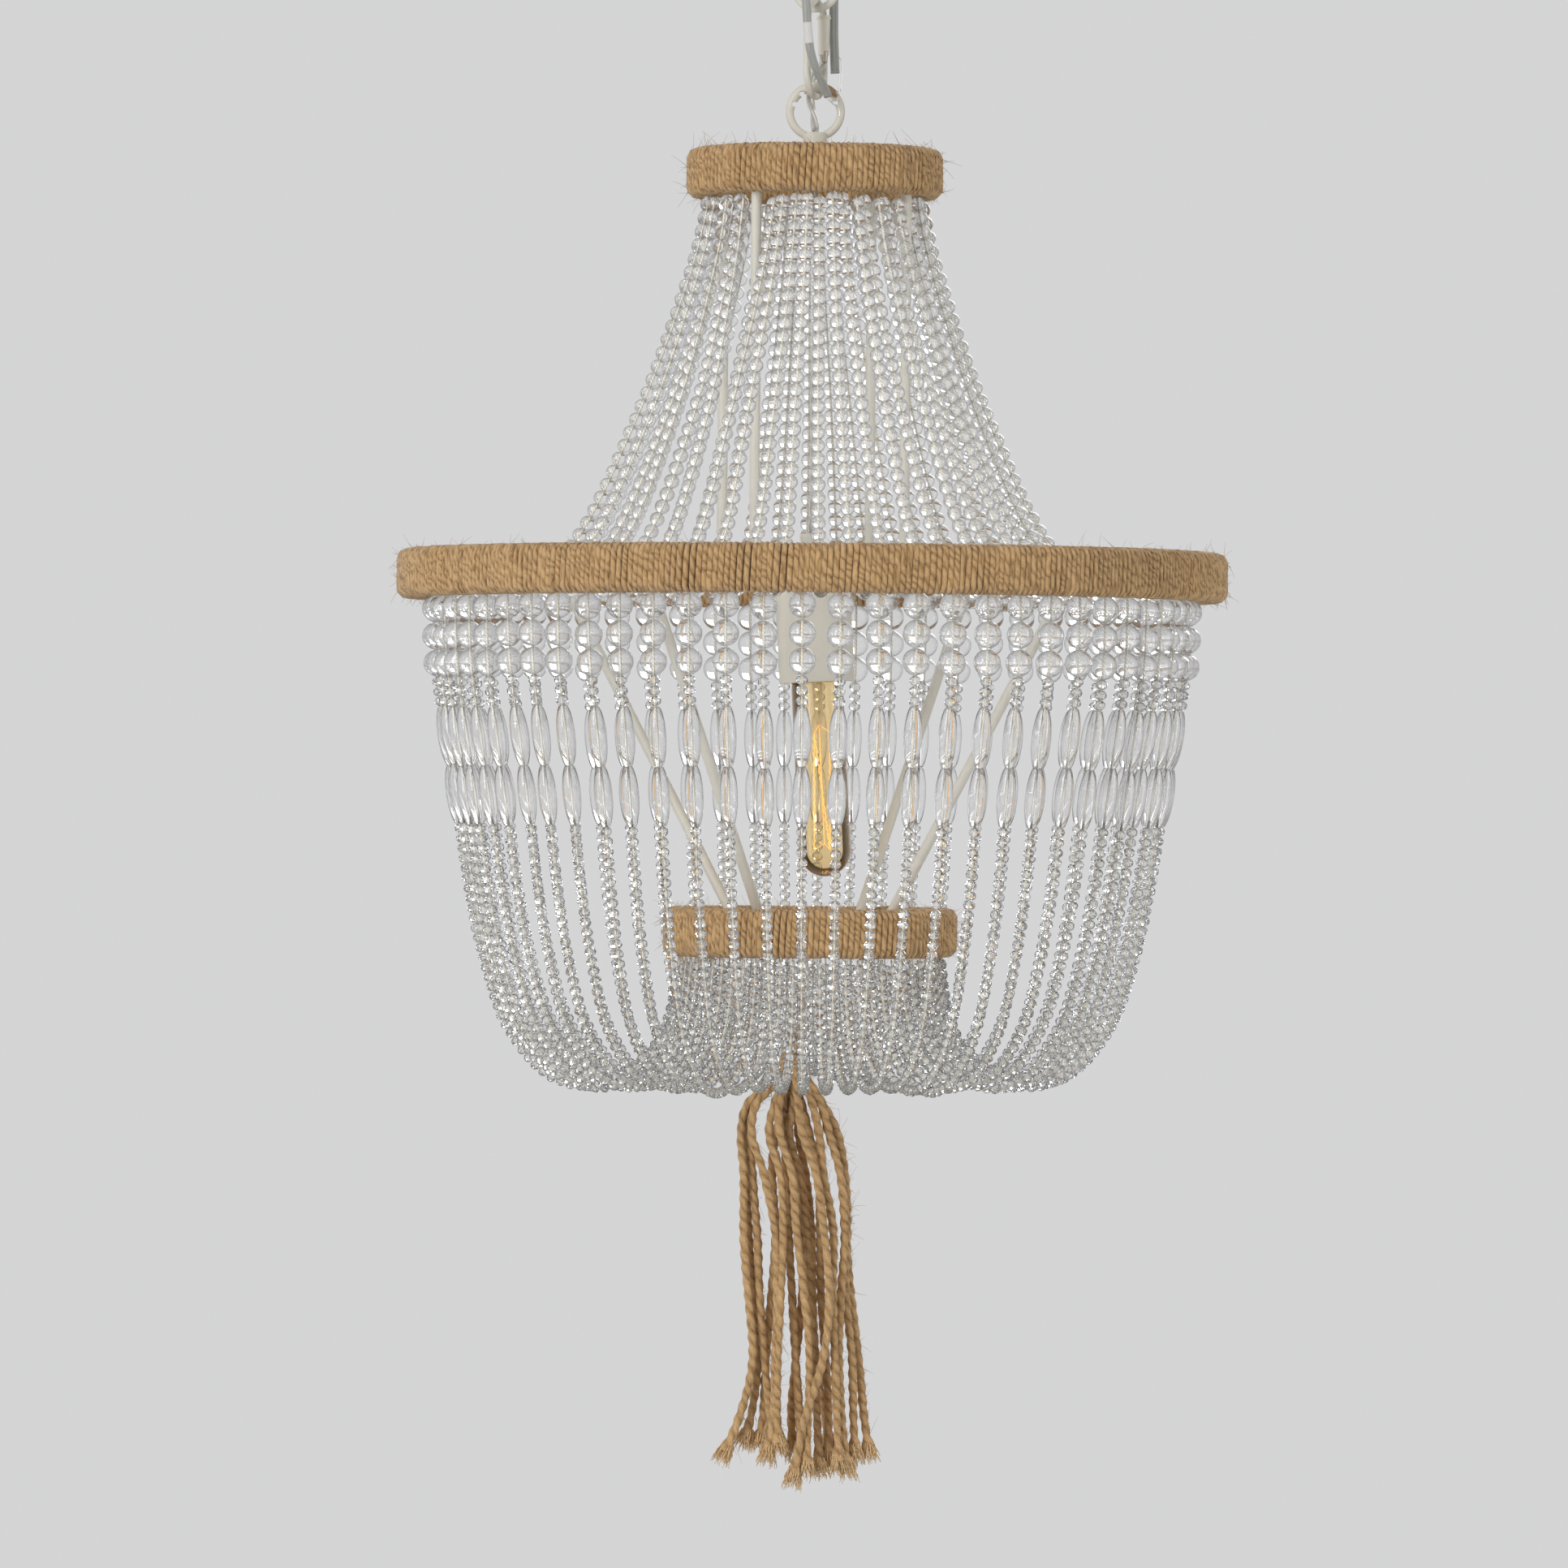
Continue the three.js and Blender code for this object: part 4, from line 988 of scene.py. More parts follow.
@dataclass
class Route:
    """A smooth line through points, measured along its length."""

    knots: Array
    fineness: int = 14
    line: Array = field(init=False)
    marks: Array = field(init=False)

    def __post_init__(self) -> None:
        """Works out the smooth line and its lengths."""
        knots = np.asarray(self.knots, float)
        ends = np.vstack([2 * knots[0] - knots[1], knots, 2 * knots[-1] - knots[-2]])
        parts = [self._stretch(ends[i : i + 4]) for i in range(len(ends) - 3)]
        self.line = np.vstack([*parts, knots[-1:]])
        steps = np.linalg.norm(np.diff(self.line, axis=0), axis=1)
        self.marks = np.concatenate([[0.0], np.cumsum(steps)])

    def _stretch(self, four: Array) -> Array:
        """The smooth line between the middle two of four points.

        Args:
            four: The points.

        Returns:
            Points of the line, without its last.
        """
        gaps = np.sqrt(np.maximum(np.linalg.norm(np.diff(four, axis=0), axis=1), 1e-9))
        t0, t1 = 0.0, gaps[0]
        t2, t3 = t1 + gaps[1], t1 + gaps[1] + gaps[2]
        t = np.linspace(t1, t2, self.fineness, endpoint=False)[:, None]
        a1 = (t1 - t) / (t1 - t0) * four[0] + (t - t0) / (t1 - t0) * four[1]
        a2 = (t2 - t) / (t2 - t1) * four[1] + (t - t1) / (t2 - t1) * four[2]
        a3 = (t3 - t) / (t3 - t2) * four[2] + (t - t2) / (t3 - t2) * four[3]
        b1 = (t2 - t) / (t2 - t0) * a1 + (t - t0) / (t2 - t0) * a2
        b2 = (t3 - t) / (t3 - t1) * a2 + (t - t1) / (t3 - t1) * a3
        return (t2 - t) / (t2 - t1) * b1 + (t - t1) / (t2 - t1) * b2

    @property
    def length(self) -> float:
        """The line's whole length."""
        return float(self.marks[-1])

    def at(self, lengths: Array) -> Array:
        """The points at lengths along the line."""
        return np.column_stack([np.interp(lengths, self.marks, self.line[:, i]) for i in range(3)])

    def ways(self, lengths: Array) -> Array:
        """The directions along the line.

        Args:
            lengths: Where they are taken.

        Returns:
            A unit direction for each length.
        """
        step = 0.5 * MM
        return unit(self.at(lengths + step) - self.at(lengths - step))

    def evenly(self, count: int) -> Array:
        """Points at even lengths, both ends with them."""
        return self.at(np.linspace(0.0, self.length, count))


class Weave:
    """Meshes made of many swept tubes and copied shapes, gathered and then turned into one piece."""

    def __init__(self) -> None:
        """Starts with nothing."""
        self.corners: list[Array] = []
        self.faces: list[Array] = []
        self.maps: list[Array] = []
        self.smooth: list[Array] = []
        self.finish: list[Array] = []
        self.count = 0

    def add(self, corners: Array, faces: Array, maps: Array, smooth: bool, slot: int) -> None:
        """Adds a mesh.

        Args:
            corners: Its corners.
            faces: The numbers of each face's four corners, the last doubled on a triangle.
            maps: The map's points for them.
            smooth: Whether the faces are shaded smooth.
            slot: The finish's number on the piece.
        """
        self.corners.append(corners)
        self._faced(faces + self.count, maps, smooth, slot)
        self.count += len(corners)

    def _faced(self, faces: Array, maps: Array, smooth: bool, slot: int) -> None:
        """Adds faces on corners that are there.

        Args:
            faces: The numbers of their corners.
            maps: The map's points for them.
            smooth: Whether they are shaded smooth.
            slot: The finish's number on the piece.
        """
        self.faces.append(faces)
        self.maps.append(maps)
        self.smooth.append(np.full(len(faces), smooth))
        self.finish.append(np.full(len(faces), slot))

    def tube(
        self,
        centres: Array,
        radius: Union[float, Array],
        sides: int = 6,
        out: Optional[Array] = None,
        closed: bool = False,
        lobes: Optional[tuple[float, float]] = None,
        flat: float = 1.0,
        slot: int = 0,
    ) -> None:
        """Sweeps a round or lobed section along a line.

        Args:
            centres: The centreline's points.
            radius: The radius, one or one for each point.
            sides: The section's corners.
            out: The direction of the section's first corner at each point.
            closed: Whether the line closes on itself.
            lobes: A twisted cord's depth of groove and length of lay.
            flat: The section's thickness as a share of its width.
            slot: The finish's number on the piece.
        """
        count = len(centres)
        ahead, behind = np.roll(centres, -1, axis=0), np.roll(centres, 1, axis=0)
        if not closed:
            ahead[-1], behind[0] = centres[-1], centres[0]
        way = unit(ahead - behind)
        side = unit(np.cross(way, self.steady(way) if out is None else out))
        out = np.cross(side, way)
        steps = np.linalg.norm(np.diff(centres, axis=0), axis=1)
        lengths = np.concatenate([[0.0], np.cumsum(steps)])
        angles = 2 * math.pi * np.arange(sides) / sides
        reach = np.broadcast_to(np.reshape(radius, (-1, 1)), (count, sides)).copy()
        if lobes:
            turn = angles[None, :] - 2 * math.pi * lengths[:, None] / lobes[1]
            reach *= np.sqrt(1 - lobes[0] * np.sin(turn) ** 2)
        across = reach * np.cos(angles)
        thick = reach * np.sin(angles) * flat
        ring = centres[:, None] + out[:, None] * across[..., None] + side[:, None] * thick[..., None]
        i, j = np.meshgrid(np.arange(count if closed else count - 1), np.arange(sides), indexing="ij")
        i, j = i.ravel(), j.ravel()
        after, beside = (i + 1) % count, (j + 1) % sides
        faces = np.column_stack(
            [i * sides + j, i * sides + beside, after * sides + beside, after * sides + j]
        )
        end_length = lengths[-1] + (np.linalg.norm(centres[-1] - centres[0]) if closed else 0.0)
        far = np.concatenate([lengths, [end_length]])
        u0, u1 = j / sides, (j + 1) / sides
        maps = np.stack(
            [
                np.column_stack([u0, far[i]]),
                np.column_stack([u1, far[i]]),
                np.column_stack([u1, far[i + 1]]),
                np.column_stack([u0, far[i + 1]]),
            ],
            axis=1,
        )
        self.add(ring.reshape(-1, 3), faces, maps, True, slot)
        if not closed:
            self._caps(count, sides, lengths, slot)

    @staticmethod
    def steady(way: Array) -> Array:
        """Directions square to a line that turn as little as they can along it.

        Args:
            way: The line's directions.

        Returns:
            A unit direction for each of them.
        """
        turned = [unit(np.cross(way[0], (0.31, 0.87, 0.38)))]
        for step in way[1:]:
            turned.append(unit(turned[-1] - step * np.dot(turned[-1], step)))
        return np.array(turned)

    def _caps(self, count: int, sides: int, lengths: Array, slot: int) -> None:
        """Closes both ends of the tube that was added last, with fans about their first corners.

        Args:
            count: The tube's points.
            sides: Its section's corners.
            lengths: The lengths at its points.
            slot: The finish's number on the piece.
        """
        base = self.count - count * sides
        last = base + (count - 1) * sides
        faces = []
        for j in range(1, sides - 1):
            faces.append((base, base + j + 1, base + j, base + j))
            faces.append((last, last + j, last + j + 1, last + j + 1))
        maps = np.zeros((len(faces), 4, 2))
        maps[0::2, :, 1] = lengths[0]
        maps[1::2, :, 1] = lengths[-1]
        self._faced(np.array(faces), maps, False, slot)

    def piece(self, name: str, finishes: Sequence[Finish]) -> Piece:
        """Turns all that was gathered into one piece.

        Args:
            name: The piece's name.
            finishes: Its finishes, in the order of their numbers.

        Returns:
            The piece.
        """
        corners = np.vstack(self.corners)
        faces, maps = np.vstack(self.faces), np.vstack(self.maps)
        three = faces[:, 3] == faces[:, 2]
        sizes = np.where(three, 3, 4)
        keep = np.ones(faces.shape, bool)
        keep[three, 3] = False
        mesh = bpy.data.meshes.new(name)
        mesh.vertices.add(len(corners))
        mesh.vertices.foreach_set("co", corners.ravel())
        mesh.loops.add(int(sizes.sum()))
        mesh.loops.foreach_set("vertex_index", faces[keep])
        mesh.polygons.add(len(faces))
        mesh.polygons.foreach_set("loop_start", np.concatenate([[0], np.cumsum(sizes)[:-1]]))
        mesh.polygons.foreach_set("loop_total", sizes)
        mesh.polygons.foreach_set("use_smooth", np.concatenate(self.smooth))
        mesh.polygons.foreach_set("material_index", np.concatenate(self.finish))
        layer = mesh.uv_layers.new(name="UVMap")
        layer.data.foreach_set("uv", maps[keep].ravel())
        mesh.update()
        mesh.validate()
        for finish in finishes:
            mesh.materials.append(finish.material())
        return Bench.placed(name, mesh)


# Camera and studio


@dataclass
class CameraView:
    """The long-lens view of the photograph, level and a little turned."""

    distance: float = 5.507
    height: float = -578 * MM
    aim_x: float = -16.2 * MM
    aim_z: float = -586.8 * MM
    half_width: float = 472.6 * MM
    turn: float = 0.38

    def build(self) -> None:
        """Makes the camera and sets it as the scene's."""
        data = bpy.data.cameras.new("view")
        data.lens = data.sensor_width / 2 * self.distance / self.half_width
        camera = bpy.data.objects.new("view", data)
        bpy.context.scene.collection.objects.link(camera)
        place = Vector((self.aim_x, -self.distance, self.height))
        gaze = Vector((self.aim_x, 0.0, self.aim_z)) - place
        turn = gaze.to_track_quat("-Z", "Y").to_matrix().to_4x4()
        camera.matrix_world = (
            Matrix.Translation(place) @ turn @ Matrix.Rotation(math.radians(self.turn), 4, "Z")
        )
        bpy.context.scene.camera = camera


@dataclass
class Studio:
    """A pale floor, a pale world and soft lamps."""

    floor_drop: float = -1.33
    floor_radius: float = 2.6
    pale: Colour = (0.66, 0.66, 0.665)
    fill: float = 0.42
    aim: Point = (0.0, 0.0, -0.55)
    lamps: tuple[tuple[str, Point, float, float, float], ...] = (
        ("key", (-2.2, -2.8, 0.3), 1.0, 2.6, 62.0),
        ("side", (2.9, -1.2, -0.3), 0.7, 2.0, 19.0),
        ("rear", (0.9, 2.9, 0.8), 1.4, 1.4, 30.0),
    )

    def build(self) -> None:
        """Makes the floor, the world and the lamps."""
        scene = bpy.context.scene
        scene.view_settings.view_transform = "Standard"
        Bench.clear()
        bpy.ops.mesh.primitive_circle_add(
            vertices=96, radius=self.floor_radius, fill_type="NGON", location=(0, 0, self.floor_drop)
        )
        floor = Bench.settle(Bench.named("floor"))
        floor.data.materials.append(self._floor_paint())
        floor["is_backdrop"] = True
        scene.world = self._world()
        for name, place, width, height, power in self.lamps:
            data = bpy.data.lights.new(name, "AREA")
            data.shape = "RECTANGLE"
            data.size = width
            data.size_y = height
            data.energy = power
            lamp = bpy.data.objects.new(name, data)
            bpy.context.scene.collection.objects.link(lamp)
            lamp.location = place
            gaze = Vector(self.aim) - Vector(place)
            lamp.rotation_mode = "QUATERNION"
            lamp.rotation_quaternion = gaze.to_track_quat("-Z", "Y")

    def _floor_paint(self) -> Material:
        """Writes the pale floor, which fades into the world at its rim and isn't seen from below.

        Returns:
            The material.
        """
        recipe = Recipe("pale_floor")
        spot = recipe.node("ShaderNodeSeparateXYZ", None, {0: recipe.place()})
        east, north = Signal(recipe, spot.outputs[0]), Signal(recipe, spot.outputs[1])
        reach = (east * east + north * north) ** 0.5
        fade = recipe.between(reach, 0.55 * self.floor_radius, 0.98 * self.floor_radius)
        below = recipe.signal("ShaderNodeNewGeometry", output="Backfacing")
        matt = recipe.principled(Base_Color=(0.7, 0.7, 0.7), Roughness=0.9)
        clear = recipe.node("ShaderNodeBsdfTransparent")
        return recipe.finish(recipe.mixed(fade.larger(below), matt, clear))

    def _world(self) -> bpy.types.World:
        """Writes a pale world to look at and a softer one to light with.

        Returns:
            The world.
        """
        recipe = Recipe("studio", world=True)
        camera, through, shine = (
            recipe.signal("ShaderNodeLightPath", output=f"Is {ray} Ray")
            for ray in ("Camera", "Transmission", "Glossy")
        )
        light = recipe.node("ShaderNodeBackground", None, {"Color": (1.0, 1.0, 1.0), "Strength": self.fill})
        pale = recipe.node("ShaderNodeBackground", None, {"Color": self.pale})
        return recipe.finish(recipe.mixed(camera.larger(through).larger(shine), light, pale))


# Cords


@dataclass
class FlatCord:
    """A flat two-core cord: clear grey insulation over two bright stranded wires."""

    name: str
    node: str
    route: tuple[Point, ...]
    width: float
    joins: tuple[Body, Body]
    bend: tuple[Point, Point]
    far_end: str
    band: Optional[tuple[float, float]] = None
    step: float = 1.6 * MM
    flatness: float = 0.52
    band_flatness: float = 0.58
    core_place: float = 0.48
    core_radius: float = 0.26

    def build(self) -> None:
        route = Route(np.array(self.route) * MM)
        centres = route.evenly(max(int(route.length / self.step), 20))
        out = np.tile((1.0, -0.25, 0.0), (len(centres), 1))
        radius = self.width * MM / 2
        skin = Weave()
        skin.tube(centres, radius, 16, out, flat=self.flatness)
        piece = skin.piece(self.name, [CORD_SKIN])
        core = Weave()
        inner = centres[1:-1]
        way = np.gradient(inner, axis=0)
        side = unit(np.cross(way, np.cross(out[1:-1], way)))
        for sign in (-1, 1):
            line = inner + sign * side * radius * self.core_place
            core.tube(line, radius * self.core_radius, 8, lobes=(0.35, 3 * MM))
        others = [core.piece(f"{self.name}_wires", [SILVER])]
        if self.band:
            sleeve = Weave()
            marks = np.linspace(*self.band, 12) * MM
            sleeve.tube(route.at(marks), radius * 1.06, 16, out[:12], flat=self.band_flatness)
            others.append(sleeve.piece(f"{self.name}_band", [WHITE_BAND]))
        start, end = (tuple(part * MM for part in point) for point in self.bend)
        for part in (piece, *others):
            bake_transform(part)
            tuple(start)
            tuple(end)
        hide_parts(self.node)
        route.length
        log.info("%s is %.0f mm long", self.name, route.length / MM)


@dataclass
class Cords:
    """The two supply cords, their bare ends, and the lamp's twisted lead."""

    supply_upper: tuple[Point, ...] = (
        (-24, -6, -12), (-24, -6, -20), (-24, -6, -32), (-23, -7.5, -40), (-19.5, -10, -50),
        (-15, -12.5, -61), (-11, -14.8, -72), (-8.4, -16.6, -83), (-7.2, -17.4, -92.85),
    )
    supply_lower: tuple[Point, ...] = (
        (-7.2, -17.4, -93.15), (-6.4, -18.4, -105), (-6, -19, -116), (-5.3, -19.2, -128),
        (-4.5, -19.2, -138), (-2.8, -18.6, -148), (0.5, -16.6, -158), (4.6, -13.2, -166),
        (7.6, -9.8, -173.2),
    )
    second_upper: tuple[Point, ...] = (
        (24, 6, -12), (24, 6, -20), (24, 6, -32), (22.5, 6.2, -42), (19, 6.6, -54), (15.2, 7, -66),
        (12.6, 7.2, -79), (11.4, 7.2, -92.85),
    )
    second_lower: tuple[Point, ...] = (
        (11.4, 7.2, -93.15), (11, 7.2, -106), (10.8, 7, -120), (10.9, 6.8, -134), (11.4, 6.6, -148),
        (11.8, 6.4, -158),
    )
    lead_upper: tuple[Point, ...] = (
        (4.7, 4.1, -147.8), (4.6, 4.2, -151), (2.6, 5.4, -154), (-0.3, 6.4, -157.8), (-2.9, 6.7, -163),
        (-3.3, 6.2, -168), (-3, 4.6, -173.8), (-1.9, 2.4, -180), (-0.6, 0.6, -187), (0, 0, -193),
    )
    lead: tuple[Point, ...] = (
        (0, 0, -193.3), (0, 0, -215), (0.4, 0.3, -240), (1.2, 0.4, -280), (0.4, -0.6, -320),
        (-0.8, -0.4, -360), (-0.2, 0.4, -400), (-1.4, 0, -430), (-1.3, 0, -438),
    )
    lead_width: float = 3.6 * MM
    lead_lay: float = 30 * MM
    connector: Point = (4.8, 4, -135.2)

    def build(self) -> None:
        """Makes each cord, the connector and the loose wire ends."""
        crown = (Body.CEILING, Body.UPPER_LINK)
        middle = (Body.UPPER_LINK, Body.LOWER_LINK)
        cords = (
            ("supply_cord_top", "supply_cord_upper", self.supply_upper, 5.2, crown,
             ((-22, -7, -44), (-8, -16, -88)), "object"),
            ("supply_cord_tail", "supply_cord_lower", self.supply_lower, 5.2, middle,
             ((-7, -17, -96), (-5, -19, -138)), "bare", (36, 49)),
            ("second_cord_top", "second_cord_upper", self.second_upper, 5.6, crown,
             ((22, 6, -44), (12, 7, -88)), "object"),
            ("second_cord_tail", "second_cord_lower", self.second_lower, 5.6, middle,
             ((11, 7, -96), (11, 7, -138)), "bare"),
        )
        for cord in cords:
            FlatCord(*cord).build()
        self._lead_top()
        self._lead_run()
        self._connector()
        self._loose_ends()

    def _pair(self, name: str, route: Route, width: float, wire: float) -> Piece:
        """Two clear-skinned wires, twisted round each other.

        Args:
            name: The pair's name.
            route: Its line.
            width: Its width.
            wire: Each wire's radius.

        Returns:
            The pair.
        """
        count = max(int(route.length / (1.1 * MM)), 24)
        centres = route.evenly(count)
        steps = np.linspace(0, route.length, count)
        weave = Weave()
        way = np.gradient(centres, axis=0)
        across = unit(np.cross(way, (0.0, 1.0, 0.0)))
        other = unit(np.cross(across, way))
        for phase in (0.0, math.pi):
            turn = (phase + 2 * math.pi * steps / self.lead_lay)[:, None]
            swing = (np.cos(turn) * across + np.sin(turn) * other) * (width / 2 - wire)
            weave.tube(centres + swing, wire, 12)
            weave.tube((centres + swing)[1:-1], wire * 0.62, 8, lobes=(0.3, 3 * MM), slot=1)
        return weave.piece(name, [LEAD_SKIN, SILVER])

    def _lead_top(self) -> None:
        """The lead from the connector, through the loop, into the stem."""
        route = Route(np.array(self.lead_upper) * MM)
        width = self.lead_width
        piece = self._pair("lamp_lead_top", route, 1.4 * width, 0.38 * width)
        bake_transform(piece)
        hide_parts("lead_cord_upper")
        path = [tuple(point) for point in route.evenly(40)]
        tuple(path[0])
        route.length

    def _lead_run(self) -> None:
        """The lead from the stem down to the lampholder."""
        width = self.lead_width
        piece = self._pair("lamp_lead_run", Route(np.array(self.lead) * MM), width, 0.25 * width)
        seat(piece, Body.FIXTURE, "lead_cord")

    def _connector(self) -> None:
        """The crimped sleeve with its rolled rim, and the dull tube below it."""
        outline = [
            (0, -12), (3.0, -12), (3.3, -11.6), (3.5, -4), (3.8, 9.6), (4.4, 9.9), (4.5, 10.4),
            (4.3, 10.9), (4.0, 11.1), (4.1, 12), (0, 12),
        ]
        sleeve = Bench.smooth(Bench.spun("crimped_sleeve", in_metres(outline), 36), 35)
        Bench.move(sleeve, Matrix.Translation(Vector(self.connector) * MM))
        seat(CREAM.dress(sleeve), Body.LOWER_LINK, "wire_connector")
        tail = Weave()
        points = [(5.4, 2.7, -145), (5.5, 2.6, -147), (5.5, 2.5, -149), (5.4, 2.4, -151.5)]
        centres = Route(np.array(points) * MM).evenly(12)
        tail.tube(centres, np.linspace(2.3, 1.3, 12) * MM, 14, lobes=(0.12, 5 * MM))
        seat(tail.piece("sleeve_tail", [DULL]), Body.LOWER_LINK, None)

    def _loose_ends(self) -> None:
        """The thin bare wires at the two cut ends."""
        ends = {
            "supply_wire_ends": [
                [(6.6, -10.4, -172.6), (7.2, -10.4, -174.6), (9.6, -10.8, -175.9), (12.4, -11, -175.4),
                 (13.6, -10.6, -173.6)],
                [(8.2, -9.6, -172.8), (8.8, -9.4, -175.2), (10.6, -9.2, -177.4), (13.2, -9, -178.6),
                 (14.4, -8.8, -181.4), (14.6, -8.6, -185)],
            ],
            "second_wire_ends": [
                [(12.4, 6.4, -148), (13.9, 6.3, -150.5), (14.3, 6.2, -157), (14.2, 6.2, -164),
                 (13.7, 6.2, -171)],
                [(12.6, 6.4, -147), (14.9, 6.3, -149), (15.7, 6.2, -155), (15.6, 6.1, -162),
                 (15.1, 6, -168.5)],
            ],
        }
        for name, lines in ends.items():
            weave = Weave()
            for line in lines:
                weave.tube(Route(np.array(line) * MM).evenly(30), 0.35 * MM, 6)
            seat(weave.piece(name, [SILVER]), Body.LOWER_LINK, None)


# Ceiling and chain


@dataclass
class CeilingMount:
    """The canopy with its nut, and the plain parts above it."""

    radius: float = 60 * MM
    floor: float = 36 * MM
    height: float = 23.5 * MM
    wall: float = 1.6 * MM
    dome: Pairs = (
        (1.0, 0.0), (1.0, 0.16), (0.985, 0.27), (0.9, 0.48), (0.76, 0.68), (0.56, 0.84), (0.3, 0.94),
    )

    def build(self) -> None:
        """Spins the canopy and the nut, and dresses what stays from the frame."""
        r, h, w, floor = self.radius, self.height, self.wall, self.floor
        outer = [(floor + (r - floor) * a, -h * b) for a, b in self.dome]
        inner = [(floor + (r - floor) * a - w, -(h - w) * b) for a, b in self.dome]
        outline = [
            (BORE_RADIUS, -h), (14 * MM, -h), (15 * MM, -h + 0.9 * MM), (16 * MM, -h + 0.9 * MM),
            (17 * MM, -h), (floor, -h), *reversed(outer), *inner, (floor - w, w - h), (BORE_RADIUS, w - h),
        ]
        shell = Bench.smooth(Bench.spun("canopy_shell", outline, 72), 35)
        seat(PAINT.dress(shell), Body.CEILING, "canopy")
        nut = [
            (BORE_RADIUS / MM, -29.7), (7.4, -29.7), (8.8, -29.2), (9.7, -28.2), (10, -26.9),
            (9.8, -25.4), (9.2, -24.3), (8.4, -23.8), (BORE_RADIUS / MM, -23.8),
        ]
        collar = Bench.smooth(Bench.spun("canopy_collar", in_metres(nut), 48), 50)
        seat(PAINT.dress(collar), Body.CEILING, "canopy_nut")
        dress_nodes(STEEL, "mounting_strap", "strap_screw_left", "strap_screw_right")
        dress_nodes(BRASS, "canopy_stem")
        dress_nodes(GROMMET, "supply_cord_grommet", "second_cord_grommet")
        dress_nodes(CREAM, "supply_wire_cap", "second_wire_cap")


@dataclass
class CastLoop:
    """A cast loop with a bored boss, heavier on its far side, where the lower one has four notches."""

    name: str
    node: str
    body: Body
    place: Matrix
    notched: bool
    radius: float = 18 * MM
    band: float = 5.1 * MM
    heavy_band: float = 6.3 * MM
    boss_radius: float = 7.4 * MM
    boss_length: float = 10 * MM
    notch_radius: float = 1.7 * MM
    notch_reach: float = 13.2 * MM
    notch_angles: tuple[float, ...] = (24, 56, 128, 161)
    steps: int = 72

    def build(self) -> None:
        """Bends the ring, welds the boss to it and cuts the notches and the bore."""
        points, shares = [], []
        for angle in (2 * math.pi * i / self.steps for i in range(self.steps)):
            upper = max(math.sin(angle), 0.0) ** 0.5
            thick = self.band + (self.heavy_band - self.band) * upper
            reach = self.radius - thick / 2
            points.append((reach * math.cos(angle), 0.0, reach * math.sin(angle)))
            shares.append(thick / self.band)
        ring = Bench.bent(self.name, points, self.band / 2, True, shares)
        top = self.band - self.radius
        outline = [
            (0, top - self.boss_length), (self.boss_radius - 0.6 * MM, top - self.boss_length),
            (self.boss_radius, top - self.boss_length + 0.6 * MM), (self.boss_radius, top - 0.8 * MM),
            (self.boss_radius - 0.8 * MM, top), (0, top),
        ]
        Bench.weld(ring, Bench.spun("boss", outline, 48))
        if self.notched:
            for angle in self.notch_angles:
                turned = math.radians(angle)
                Bench.clear()
                bpy.ops.mesh.primitive_cylinder_add(
                    vertices=28, radius=self.notch_radius, depth=3 * self.band,
                    location=(self.notch_reach * math.cos(turned), 0, self.notch_reach * math.sin(turned)),
                    rotation=(math.pi / 2, 0, 0),
                )
                Bench.cut(ring, Bench.settle(Bench.named("notch")))
        low, high = Vector((0, 0, top - 1.2 * self.boss_length)), Vector((0, 0, top + 2 * MM))
        Bench.cut(ring, Bench.rod("bore", low, high, BORE_RADIUS, 32))
        Bench.move(Bench.smooth(ring, 38), self.place)
        finish = STAINED if self.notched else PAINT
        seat(finish.dress(ring), self.body, self.node)


@dataclass
class Chain:
    """Two oval links, a quarter turn apart."""

    length: float = 62 * MM
    width: float = 32 * MM
    rod: float = 4.5 * MM
    tops: tuple[float, float] = (-62.0 * MM, -114.65 * MM)

    def build(self) -> None:
        """Bends one link and copies it."""
        bend = (self.width - self.rod) / 2
        span = self.length - self.rod
        points = []
        for centre, start in ((-bend, 0.0), (bend - span, math.pi)):
            for i in range(25):
                angle = start + math.pi * i / 24
                points.append((bend * math.cos(angle), 0.0, centre + bend * math.sin(angle)))
        model = Bench.bent("link_model", points, self.rod / 2, True)
        places = (
            ("upper_link", "chain_link_upper", Body.UPPER_LINK, -LINK_TURN, self.tops[0]),
            ("lower_link", "chain_link_lower", Body.LOWER_LINK, math.pi / 2 - LINK_TURN, self.tops[1]),
        )
        for name, node, body, turn, top in places:
            place = Matrix.Translation((0, 0, top)) @ Matrix.Rotation(turn, 4, "Z")
            seat(PAINT.dress(Bench.copy(model, name, place)), body, node)
        bpy.data.objects.remove(model)


# Frame and rings


